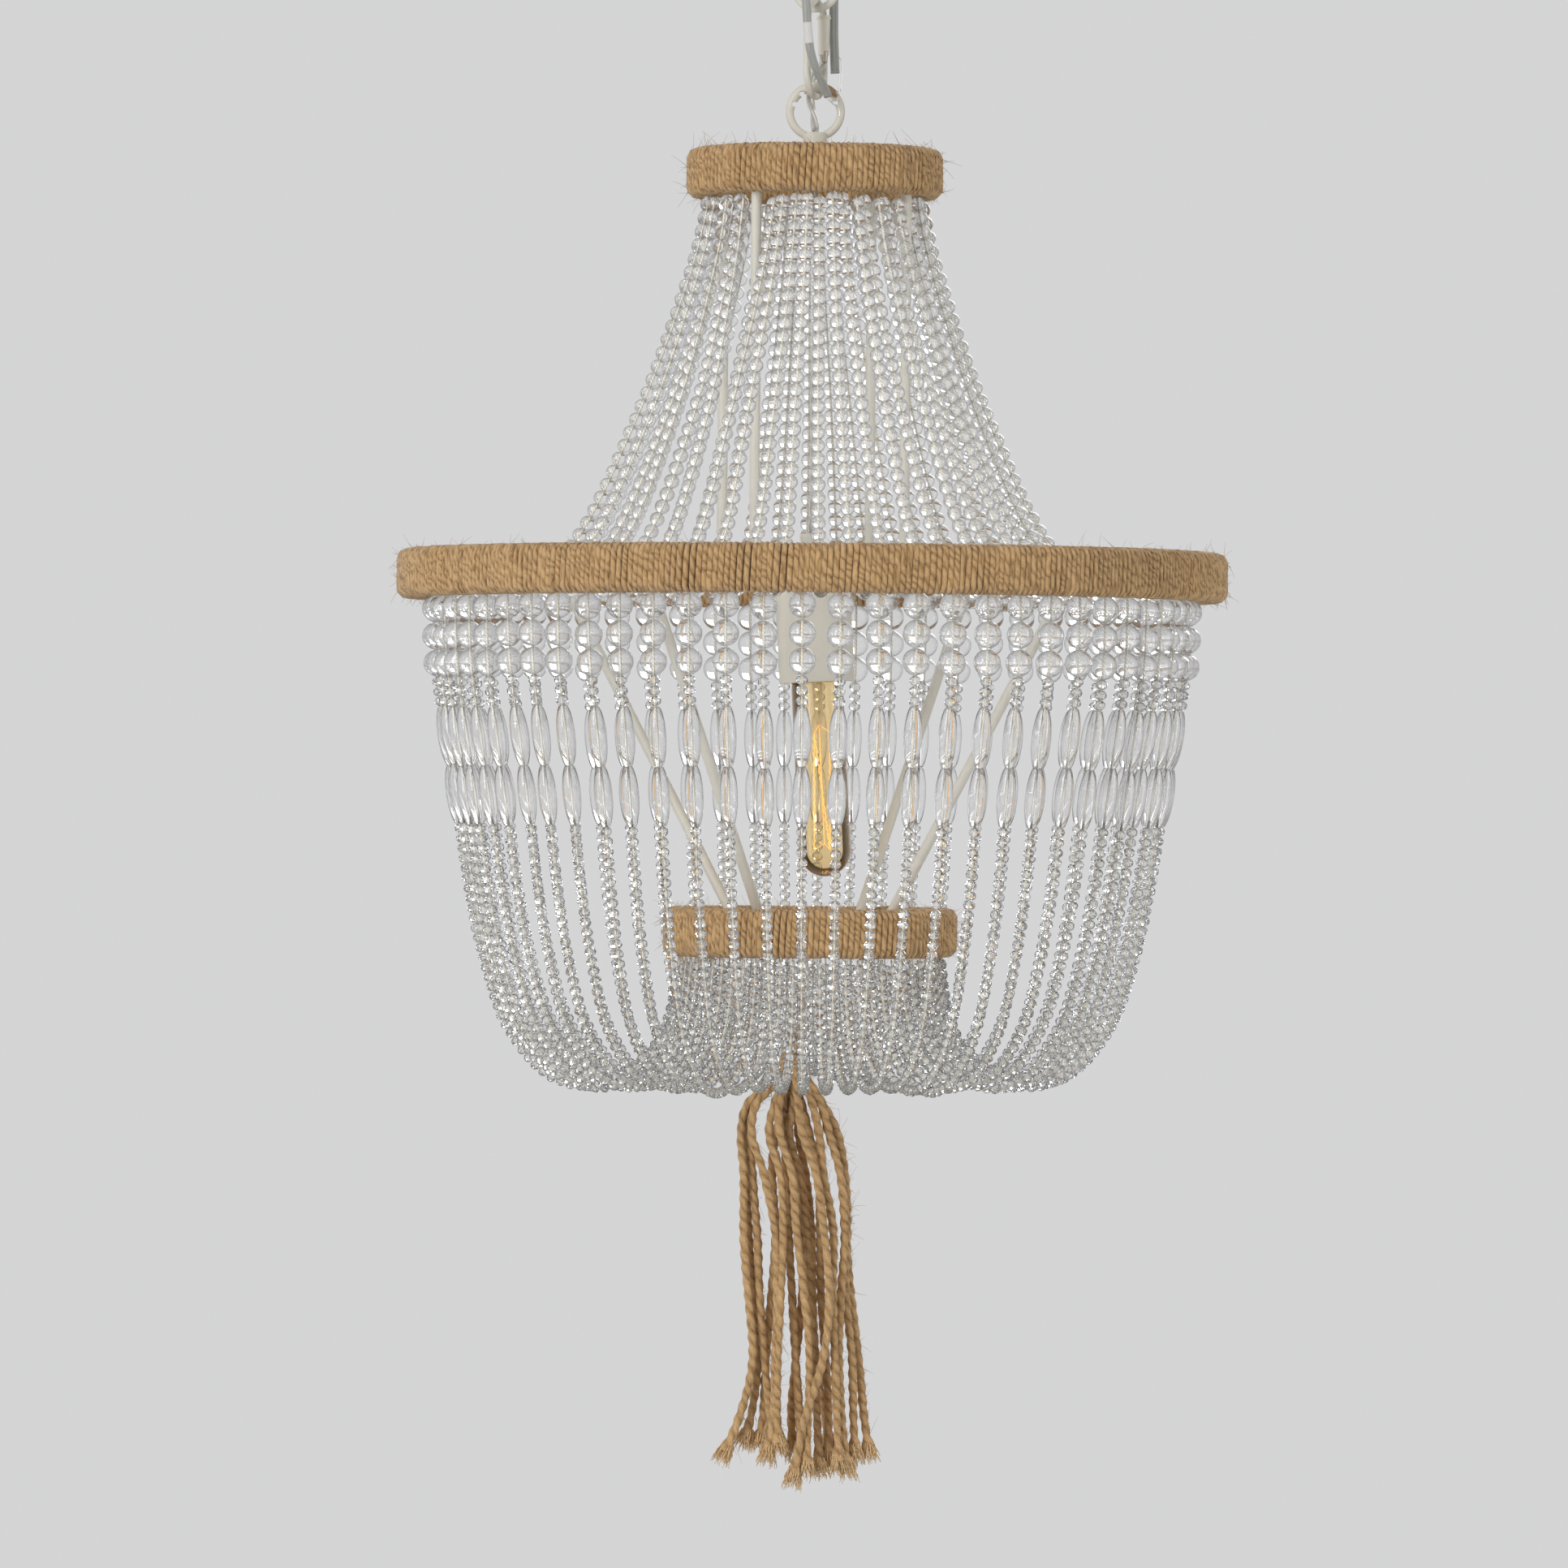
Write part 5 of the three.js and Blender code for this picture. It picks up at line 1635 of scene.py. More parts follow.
@dataclass
class RodFrame:
    """The spiders in the three rings and the rods between them."""

    arm_radius: float = 3.1 * MM
    reaches: tuple[float, float, float] = (63.0 * MM, 235.0 * MM, 74.5 * MM)
    hub_radii: tuple[float, float, float] = (12 * MM, 14 * MM, 10 * MM)
    hub_holes: tuple[float, float, float] = (BORE_RADIUS, 5.7 * MM, 0.0)
    hub_half: float = 5 * MM
    top_hub_top: float = -204.45 * MM
    upright_radius: float = 65 * MM
    upright_ends: tuple[float, float] = (MIDDLE_RING_Z + 3.3 * MM, TOP_RING_Z - 11 * MM)
    slant_radii: tuple[float, float] = (180.2 * MM, 51.8 * MM)
    slant_ends: tuple[float, float] = (MIDDLE_RING_Z - 2.9 * MM, BOTTOM_RING_Z + 2.9 * MM)
    finial_place: Point = (-3.3 * MM, 0, -711.65 * MM)

    def build(self) -> None:
        """Makes the spiders, the rods and the finial, and dresses the top stem, its lock nut and the hoops.
        """
        rings = zip(
            ("top", "middle", "bottom"), (TOP_RING_Z, MIDDLE_RING_Z, BOTTOM_RING_Z),
            self.reaches, self.hub_radii, self.hub_holes,
        )
        for name, z, reach, radius, hole in rings:
            high = self.top_hub_top if name == "top" else z + self.hub_half
            hub = self._hub(f"{name}_hub", radius, z - self.hub_half, high, hole)
            start = max(hole, 1 * MM) + 2 * MM
            arms = [
                Bench.rod(f"{name}_arm", around(angle, start, z), around(angle, reach, z), self.arm_radius)
                for angle in ARM_ANGLES
            ]
            self._paint(Bench.union(f"{name}_ring_spider", [hub, *arms]), 40, f"{name}_spider")
        for i, angle in enumerate(ARM_ANGLES, 1):
            ends = (around(angle, self.upright_radius, z) for z in self.upright_ends)
            self._paint(Bench.rod(f"upright_{i}", *ends, self.arm_radius), 40, f"upper_rod_{i}")
            ends = (around(angle, r, z) for r, z in zip(self.slant_radii, self.slant_ends))
            self._paint(Bench.rod(f"slant_{i}", *ends, self.arm_radius), 40, f"lower_rod_{i}")
        dress_nodes(BRASS, "top_stem", "top_lock_nut")
        dress_nodes(HOOP_WOOD, "top_hoop", "middle_hoop", "bottom_hoop")
        self._finial()

    @staticmethod
    def _hub(name: str, radius: float, low: float, high: float, hole: float) -> Piece:
        """A turned hub with a small step and rounded rims.

        Args:
            name: The hub's name.
            radius: Its radius.
            low: Its lower end.
            high: Its upper end.
            hole: The radius of its hole, or 0.

        Returns:
            The hub.
        """
        soft = 0.8 * MM
        step = 0.25 * soft
        outline = [
            (hole, low), (radius - soft, low), (radius - step, low + step), (radius, low + soft),
            (radius, high - soft), (radius - step, high - step), (radius - soft, high), (hole, high),
        ]
        return Bench.spun(name, outline, 48)

    def _finial(self) -> None:
        """The small turned rod with its rim and bead, under the bottom hub."""
        outline = [
            (0, 0), (1.7, 0), (2.5, 0.7), (2.7, 1.8), (2.6, 6.6), (3.0, 7.2), (3.9, 7.8), (4.2, 8.6),
            (4.1, 9.3), (3.3, 9.8), (2.7, 10.4), (2.6, 20), (2.7, 30.5), (0, 30.5),
        ]
        piece = Bench.spun("finial_rod", in_metres(outline), 32)
        self._paint(Bench.move(piece, Matrix.Translation(self.finial_place)), 35, "finial")

    @staticmethod
    def _paint(piece: Piece, degrees: float, node: str) -> None:
        """Smooths and paints a piece and puts it on the fixture in place of a node."""
        seat(PAINT.dress(Bench.smooth(piece, degrees)), Body.FIXTURE, node)


@dataclass
class TwineRing:
    """Jute twine wound close round a hoop, turn by turn, with stray hairs."""

    name: str
    node: str
    radius: float
    z: float
    hairs: int
    thickness: float = 16.6 * MM
    height: float = 29 * MM
    corner: float = 5.6 * MM
    twine: float = 3.5 * MM
    steps: int = 22
    sides: int = 7
    longest_hair: float = 13 * MM
    wander: float = 0.16
    lift: float = 0.14 * MM
    swell: tuple[float, float] = (1.16, 0.06)

    def _section(self) -> tuple[Array, Array]:
        """Follows the twine once round the section, at even steps.

        Returns:
            The points, measured from the section's middle, and the outward directions there.
        """
        half_x, half_z = (self.thickness - self.twine) / 2, (self.height - self.twine) / 2
        corner = self.corner - self.twine / 2
        points, outs = [], []
        for k, (sx, sz) in enumerate(((1, 1), (-1, 1), (-1, -1), (1, -1))):
            for i in range(9):
                angle = math.pi / 2 * (k + i / 8)
                out = (math.cos(angle), math.sin(angle))
                x = sx * (half_x - corner) + corner * out[0]
                points.append((x, sz * (half_z - corner) + corner * out[1]))
                outs.append(out)
        points, outs = np.array([*points, points[0]]), np.array([*outs, outs[0]])
        marks = np.concatenate([[0], np.cumsum(np.linalg.norm(np.diff(points, axis=0), axis=1))])
        wanted = np.linspace(0, marks[-1], self.steps, endpoint=False)
        place = np.column_stack([np.interp(wanted, marks, points[:, i]) for i in range(2)])
        way = np.column_stack([np.interp(wanted, marks, outs[:, i]) for i in range(2)])
        return place, unit(way)

    def build(self) -> None:
        """Winds the twine and scatters the hairs."""
        chance = np.random.default_rng(int(self.radius / MM))
        place, way = self._section()
        turns = int(2 * math.pi * self.radius / (self.twine * 1.01))
        index = np.arange(turns * self.steps)
        turn = index / self.steps
        few, many = turns // 3, turns * 2
        wander = np.interp(turn, np.linspace(0, turns, few), chance.normal(0, self.wander, few))
        lift = np.interp(turn, np.linspace(0, turns, many), chance.normal(0, self.lift, many))
        for drift in (wander, lift):
            drift[-self.steps :] *= np.linspace(1, 0, self.steps)
            drift[: self.steps] *= np.linspace(0, 1, self.steps)
        angle = 2 * math.pi * (turn + wander) / turns
        flat = place[index % self.steps]
        off = way[index % self.steps]
        reach = self.radius - self.thickness / 2 + flat[:, 0] + off[:, 0] * lift
        centres = np.column_stack(
            [reach * np.cos(angle), reach * np.sin(angle), self.z + flat[:, 1] + off[:, 1] * lift]
        )
        outs = np.column_stack([off[:, 0] * np.cos(angle), off[:, 0] * np.sin(angle), off[:, 1]])
        swell = np.interp(turn, np.linspace(0, turns, turns * 5), chance.normal(*self.swell, turns * 5))
        weave = Weave()
        weave.tube(centres, self.twine / 2 * swell, self.sides, outs, closed=True)
        scatter_hairs(weave, centres, outs, self.twine / 2, self.hairs, chance, self.longest_hair)
        seat(weave.piece(self.name, [WOUND, FIBRE]), Body.FIXTURE, self.node)
        log.info("%s has %d turns of twine", self.name, turns)


def scatter_hairs(
    weave: Weave,
    centres: Array,
    outs: Array,
    radius: float,
    count: int,
    chance: np.random.Generator,
    longest: float,
) -> None:
    """Adds thin loose fibres that stand off a twine.

    Args:
        weave: The weave that they join.
        centres: The twine's centreline.
        outs: The directions away from what the twine lies on.
        radius: The twine's radius.
        count: The number of fibres.
        chance: The seeded generator.
        longest: The longest fibre.
    """
    for k in chance.integers(2, len(centres) - 2, count):
        way = unit(centres[k + 1] - centres[k - 1])
        tilt = chance.normal(0, 0.55)
        lean = unit(outs[k] * math.cos(tilt) + np.cross(way, outs[k]) * math.sin(tilt))
        length = longest * (0.12 + 0.88 * chance.random() ** 3)
        run = way * chance.uniform(0.3, 1.8) * (1 if chance.random() < 0.5 else -1)
        curl = chance.normal(0, 0.55, 3)
        share = np.linspace(0, 1, 4)[:, None]
        line = centres[k] + lean * radius * 0.85
        line = line + (lean * share + run * share * 0.8 + curl * share**2 * 0.6) * length * 0.6
        weave.tube(line, np.linspace(0.14, 0.06, 4) * MM, 3, slot=1)


# Beads


class BeadKind(Enum):
    """The kinds of bead on the strands."""

    SMALL_ROUND = "small round"
    LARGE_ROUND = "large round"
    SPACER = "spacer"
    OVAL = "oval"
    FACETED = "faceted"


@dataclass(frozen=True)
class BeadShape:
    """One kind of bead, modelled once with its hole along Z."""

    diameter: float
    length: float
    segments: int
    rings: int
    end: float
    cut_faces: bool = False
    hole: float = 1.2 * MM

    def model(self) -> tuple[Array, Array]:
        """Models the bead.

        Returns:
            The corners, and faces of four with the last doubled on a triangle.
        """
        Bench.clear()
        bpy.ops.mesh.primitive_uv_sphere_add(
            segments=self.segments, ring_count=self.rings, radius=self.diameter / 2
        )
        piece = Bench.named("bead")
        round_length = self.length / math.sqrt(1 - (self.end / self.diameter) ** 2)
        bpy.ops.object.mode_set(mode="EDIT")
        bpy.ops.mesh.select_all(action="SELECT")
        bpy.ops.transform.resize(value=(1, 1, round_length / self.diameter))
        bpy.ops.object.mode_set(mode="OBJECT")
        self._drill()
        corners = np.array([vertex.co for vertex in piece.data.vertices], float)
        faces = []
        for polygon in piece.data.polygons:
            ring = list(polygon.vertices)
            faces.append(ring if len(ring) == 4 else ring + ring[-1:])
        bpy.data.objects.remove(piece)
        return corners, np.array(faces)

    def _drill(self) -> None:
        """Cuts both tips off flat, draws their rims in and bridges them to make the hole."""
        bpy.ops.object.mode_set(mode="EDIT")
        for side in (1, -1):
            bpy.ops.mesh.select_all(action="SELECT")
            tip = (0, 0, side * self.length / 2)
            bpy.ops.mesh.bisect(plane_co=tip, plane_no=(0, 0, side), clear_outer=True, use_fill=False)
        bpy.ops.mesh.select_all(action="DESELECT")
        bpy.ops.mesh.select_mode(type="EDGE")
        bpy.ops.mesh.select_non_manifold()
        bpy.ops.mesh.extrude_edges_move()
        share = self.hole / self.end
        bpy.ops.transform.resize(value=(share, share, 1), center_override=(0, 0, 0))
        bpy.ops.mesh.bridge_edge_loops()
        bpy.ops.mesh.select_all(action="SELECT")
        bpy.ops.mesh.normals_make_consistent(inside=False)
        bpy.ops.object.mode_set(mode="OBJECT")


SHAPES = {
    BeadKind.SMALL_ROUND: BeadShape(8.7 * MM, 8.5 * MM, 16, 12, 1.6 * MM),
    BeadKind.LARGE_ROUND: BeadShape(16 * MM, 15.9 * MM, 24, 16, 2.2 * MM),
    BeadKind.SPACER: BeadShape(7.4 * MM, 6.0 * MM, 8, 6, 1.7 * MM, True),
    BeadKind.OVAL: BeadShape(10.8 * MM, 35.2 * MM, 20, 18, 5.0 * MM),
    BeadKind.FACETED: BeadShape(6.8 * MM, 5.8 * MM, 8, 6, 1.6 * MM, True),
}
Moulds = dict[BeadKind, tuple[Array, Array]]


@dataclass
class BeadStringer:
    """Threads beads on routes and gathers them in one weave."""

    moulds: Moulds
    weave: Weave = field(default_factory=Weave)
    chance: np.random.Generator = field(default_factory=lambda: np.random.default_rng(7))
    thread_radius: float = 0.55 * MM
    thread_step: float = 5 * MM
    size_spread: float = 0.012

    def thread(self, route: Route, beads: Sequence[tuple[BeadKind, float]], across: Array) -> None:
        """Puts beads on a route.

        Args:
            route: The strand's line.
            beads: Each bead's kind and its length along the line.
            across: A direction square to the line, to turn the beads from.
        """
        for kind in dict.fromkeys(kind for kind, _ in beads):
            marks = np.array([mark for each, mark in beads if each is kind])
            places, ways = route.at(marks), route.ways(marks)
            side = unit(np.cross(ways, across))
            front = np.cross(side, ways)
            turn = self.chance.uniform(0, 2 * math.pi, (len(marks), 1))
            x = np.cos(turn) * front + np.sin(turn) * side
            y = np.cross(ways, x)
            corners, faces = self.moulds[kind]
            shaped = corners[None] * self.chance.normal(1.0, self.size_spread, (len(marks), 1, 1))
            turned = shaped[..., 0:1] * x[:, None] + shaped[..., 1:2] * y[:, None]
            turned = turned + shaped[..., 2:3] * ways[:, None]
            whole = (turned + places[:, None]).reshape(-1, 3)
            shift = (np.arange(len(marks)) * len(corners))[:, None, None]
            spread = (faces[None] + shift).reshape(-1, 4)
            cut = SHAPES[kind].cut_faces
            self.weave.add(whole, spread, np.zeros((len(spread), 4, 2)), not cut, 2 if cut else 0)
        steps = max(int(route.length / self.thread_step), 12)
        self.weave.tube(route.evenly(steps), self.thread_radius, 6, slot=1)

    def piece(self, name: str) -> Piece:
        """The strands as one piece of glass and thread."""
        return self.weave.piece(name, [BEAD, CORE, CUT_BEAD])


@dataclass
class UpperCurtain:
    """Strands of touching round beads, from the top ring out to the middle ring."""

    moulds: Moulds
    strands: int = 48
    gap: float = 5.5
    hang_radius: float = 62 * MM
    stagger: float = 4.8 * MM
    start_z: float = -234.85 * MM
    low_z: float = -474.25 * MM
    end_radius: float = 228.0 * MM
    pitch: float = 8.62 * MM
    first_bead: tuple[float, float] = (2.6, 7.0)
    end_margin: float = 2 * MM
    spread: Point = (0.25, 0.8 * MM, 1.2 * MM)
    shares: Pairs = (
        (0, 0), (0.036, 0.118), (0.109, 0.282), (0.192, 0.445), (0.289, 0.608), (0.397, 0.771),
        (0.467, 0.853), (0.562, 0.927), (0.681, 0.976), (0.825, 1), (0.932, 0.988), (1, 0.962),
    )

    def _route(self, top: float, low: float, layer: int, sway: Array) -> Route:
        """One strand's line.

        Args:
            top: The angle at its upper end.
            low: The angle at its lower end.
            layer: 0 for the inner strands, 1 for the outer.
            sway: How far it strays, in angle, radius and height.

        Returns:
            The line.
        """
        start = self.hang_radius + (layer - 0.5) * self.stagger
        knots = []
        for r, z in self.shares:
            angle = top + (low - top) * min(2 * z, 1) + sway[0] * math.sin(math.pi * z)
            radius = start + (self.end_radius - start) * r + sway[1] * math.sin(math.pi * r)
            height = self.start_z + (self.low_z - self.start_z) * z + sway[2] * math.sin(math.pi * r) * z
            knots.append(around(angle, radius, height))
        return Route(np.array([tuple(knot) for knot in knots]))

    def build(self) -> None:
        """Threads the strands, a quarter of the curtain at a time."""
        chance = np.random.default_rng(11)
        count = self.strands // 4
        for quarter, begin in enumerate(ARM_ANGLES, 1):
            stringer = BeadStringer(self.moulds)
            for i in range(count):
                share = (i + 0.5) / count
                low = begin + 90 * share
                sway = chance.normal(0, self.spread)
                route = self._route(begin + self.gap + (90 - 2 * self.gap) * share, low, i % 2, sway)
                first = chance.uniform(*self.first_bead) * MM
                marks = np.arange(first, route.length - self.end_margin, self.pitch)
                beads = [(BeadKind.SMALL_ROUND, float(mark)) for mark in marks]
                stringer.thread(route, beads, np.array(tuple(around(low + 90, 1, 0))))
            piece = stringer.piece(f"upper_strands_{quarter}")
            seat(piece, Body.FIXTURE, f"upper_curtain_{quarter}")
        log.info("the upper curtain has %d strands", self.strands)


@dataclass
class LowerCurtain:
    """Strands with round, oval and faceted beads, from the middle ring down and up to the bottom ring."""

    moulds: Moulds
    strands: int = 64
    hang_radius: float = 227 * MM
    turn_radius: float = 135 * MM
    rise_radius: float = 79 * MM
    start_z: float = -472.55 * MM
    low_z: float = -766.55 * MM
    end_z: float = -691.35 * MM
    chain_pitch: float = 6.08 * MM
    chain_start: float = 142.5 * MM
    end_margin: float = 2.5 * MM
    slack: float = 0.8 * MM
    spread: Point = (0.16, 0.8 * MM, 1.4 * MM)
    fall: Pairs = (
        (0, 0), (0, 0.05), (0.01, 0.13), (0.033, 0.2), (0.085, 0.29), (0.13, 0.38), (0.175, 0.47),
        (0.225, 0.575), (0.295, 0.69), (0.38, 0.79), (0.465, 0.865), (0.6, 0.93), (0.77, 0.98), (1, 1),
    )
    rise: Pairs = ((0.33, 0.955), (0.58, 0.85), (0.78, 0.68), (0.92, 0.42), (1, 0))
    heads: tuple[tuple[BeadKind, float], ...] = (
        (BeadKind.LARGE_ROUND, 9.6), (BeadKind.LARGE_ROUND, 26.1), (BeadKind.LARGE_ROUND, 42.4),
        (BeadKind.SPACER, 53.4), (BeadKind.SPACER, 59.5), (BeadKind.SPACER, 65.6),
        (BeadKind.OVAL, 86.5), (BeadKind.OVAL, 121.8),
    )

    def _route(self, angle: float, sway: Array) -> Route:
        """One strand's line.

        Args:
            angle: Its angle round the axis.
            sway: How far it strays, in angle, radius and height.

        Returns:
            The line.
        """
        knots = []
        for r, z in self.fall:
            bow = math.sin(math.pi * z)
            radius = self.hang_radius + (self.turn_radius - self.hang_radius) * r + sway[1] * bow
            height = self.start_z + (self.low_z - self.start_z) * z + sway[2] * z
            knots.append(around(angle + sway[0] * bow, radius, height))
        for r, z in self.rise:
            radius = self.turn_radius + (self.rise_radius - self.turn_radius) * r
            height = self.end_z + (self.low_z + sway[2] - self.end_z) * z
            knots.append(around(angle, radius, height))
        return Route(np.array([tuple(knot) for knot in knots]))

    def build(self) -> None:
        """Threads the strands, a quarter of the curtain at a time."""
        chance = np.random.default_rng(23)
        count = self.strands // 4
        for quarter, begin in enumerate(ARM_ANGLES, 1):
            stringer = BeadStringer(self.moulds)
            for i in range(count):
                angle = begin + (i + 0.5) * 360 / self.strands
                route = self._route(angle, chance.normal(0, self.spread))
                drop = abs(chance.normal(0, self.slack))
                beads = [(kind, mark * MM + drop) for kind, mark in self.heads]
                chain = np.arange(self.chain_start + drop, route.length - self.end_margin, self.chain_pitch)
                beads += [(BeadKind.FACETED, float(mark)) for mark in chain]
                stringer.thread(route, beads, np.array(tuple(around(angle + 90, 1, 0))))
            piece = stringer.piece(f"lower_strands_{quarter}")
            seat(piece, Body.FIXTURE, f"lower_curtain_{quarter}")
        log.info("the lower curtain has %d strands", self.strands)


# Lamp


@dataclass
class Lamp:
    """The leaning lampholder with its card cup, and the tubular lamp."""

    cup_radius: float = 22.8 * MM
    cup_top: float = -6.3 * MM
    cup_length: float = 57.5 * MM
    wall: float = 2.2 * MM
    glass_radius: float = 15.65 * MM
    neck: float = -55.4 * MM
    glass_end: float = -181 * MM
    stem_top: float = -55.8
    stem_low: float = -91.4
    filament_low: float = -165.0
    filament_radius: float = 6.3
    filament_curl: float = 0.5
    hairpins: int = 6
    wires: tuple[float, float, float] = (0.32 * MM, 0.22 * MM, 0.35 * MM)

    def build(self) -> None:
        """Spins the lamp's pieces and leans them about the middle hub."""
        self._cup()
        self._coupling()
        self._glass()
        self._filament()
        dress_nodes(BRASS, "socket_stem", "bulb_cap")
        dress_nodes(CREAM, "lampholder")

    @staticmethod
    def _lean(piece: Piece) -> Piece:
        """Leans a piece about the middle hub."""
        place = Matrix.Translation((0, 0, MIDDLE_RING_Z)) @ Matrix.Rotation(-LAMP_LEAN, 4, "Y")
        return Bench.move(piece, place)

    def _cup(self) -> None:
        """The straight cup with a rolled lower edge."""
        r, top, w = self.cup_radius, self.cup_top, self.wall
        low = top - self.cup_length
        outline = [
            (r - w, low), (r - 0.3 * w, low), (r, low + 0.4 * w), (r, top - 1.6 * w),
            (r - 0.35 * w, top - 0.6 * w), (r - 1.3 * w, top), (BORE_RADIUS, top), (BORE_RADIUS, top - w),
            (r - 2 * w, top - w), (r - w, top - 2 * w),
        ]
        cup = Bench.smooth(Bench.spun("lamp_cup", outline, 64), 40)
        seat(self._lean(CREAM.dress(cup)), Body.FIXTURE, "socket_cup")

    def _coupling(self) -> None:
        """The turned coupling between the hub and the lead."""
        hole = 5.1
        outline = [
            (hole, 5.65), (5.6, 5.65), (6.3, 6.4), (6.4, 7.6), (6.2, 9), (6.2, 22), (6.4, 23.4), (6.3, 25),
            (5.7, 26.05), (hole, 26.05),
        ]
        piece = Bench.smooth(Bench.spun("lamp_coupling", in_metres(outline), 40), 40)
        seat(self._lean(PAINT.dress(piece)), Body.FIXTURE, "socket_coupling")

    def _glass(self) -> None:
        """The tube of amber glass with a round end and a drawn neck."""
        r = self.glass_radius
        centre = self.glass_end + r
        dome = [(r * math.sin(a), centre - r * math.cos(a)) for a in np.linspace(0, math.pi / 2, 14)]
        shoulder = [
            (r, self.neck - 13 * MM), (0.985 * r, self.neck - 9 * MM), (0.93 * r, self.neck - 5.5 * MM),
            (0.84 * r, self.neck - 2.6 * MM), (0.74 * r, self.neck), (0, self.neck),
        ]
        glass = Bench.smooth(Bench.spun("lamp_glass", [*dome, *shoulder], 48), 60)
        seat(self._lean(AMBER.dress(glass)), Body.BULB, "bulb_glass")

    def _filament(self) -> None:
        """The glass stem, its support wires and the long hairpin filament."""
        top, low = self.stem_top, self.stem_low
        outline = [(0, low), (1.8, low + 1), (2.4, low + 6), (3.2, top - 8), (3.2, top), (0, top)]
        stem = Bench.smooth(Bench.spun("filament_stem", in_metres(outline), 24), 50)
        hot, support, post = self.wires
        ends = (low - 3.0, self.filament_low)
        roots = (low + 2, self.filament_low + 4)
        share = np.linspace(0, 1, 40)
        angles = [2 * math.pi * k / self.hairpins for k in range(self.hairpins + 1)]
        weave = Weave()
        for k, (a, b) in enumerate(zip(angles, angles[1:])):
            first, second = ends[k % 2], ends[1 - k % 2]
            x = self.filament_radius * ((1 - share) * math.cos(a) + share * math.cos(b))
            y = self.filament_radius * ((1 - share) * math.sin(a) + share * math.sin(b))
            z = first + (second - first) * share
            curl = self.filament_curl * np.sin(share * 90)
            weave.tube(np.column_stack([x + curl, y, z]) * MM, hot, 6)
        for k, angle in enumerate(angles[:-1]):
            x, y = self.filament_radius * math.cos(angle), self.filament_radius * math.sin(angle)
            weave.tube(np.array([(0, 0, roots[k % 2]), (x, y, ends[k % 2])]) * MM, support, 5)
        weave.tube(np.array([(0, 0, low + 1), (0, 0, self.filament_low + 3)]) * MM, post, 6)
        wires = self._lean(weave.piece("filament_wires", [GLOW]))
        seat(wires, Body.BULB, "bulb_filament")
        seat(self._lean(STEM_GLASS.dress(stem)), Body.BULB, None)


# Tassel


Lane = tuple[tuple[float, ...], float, tuple[float, float]]


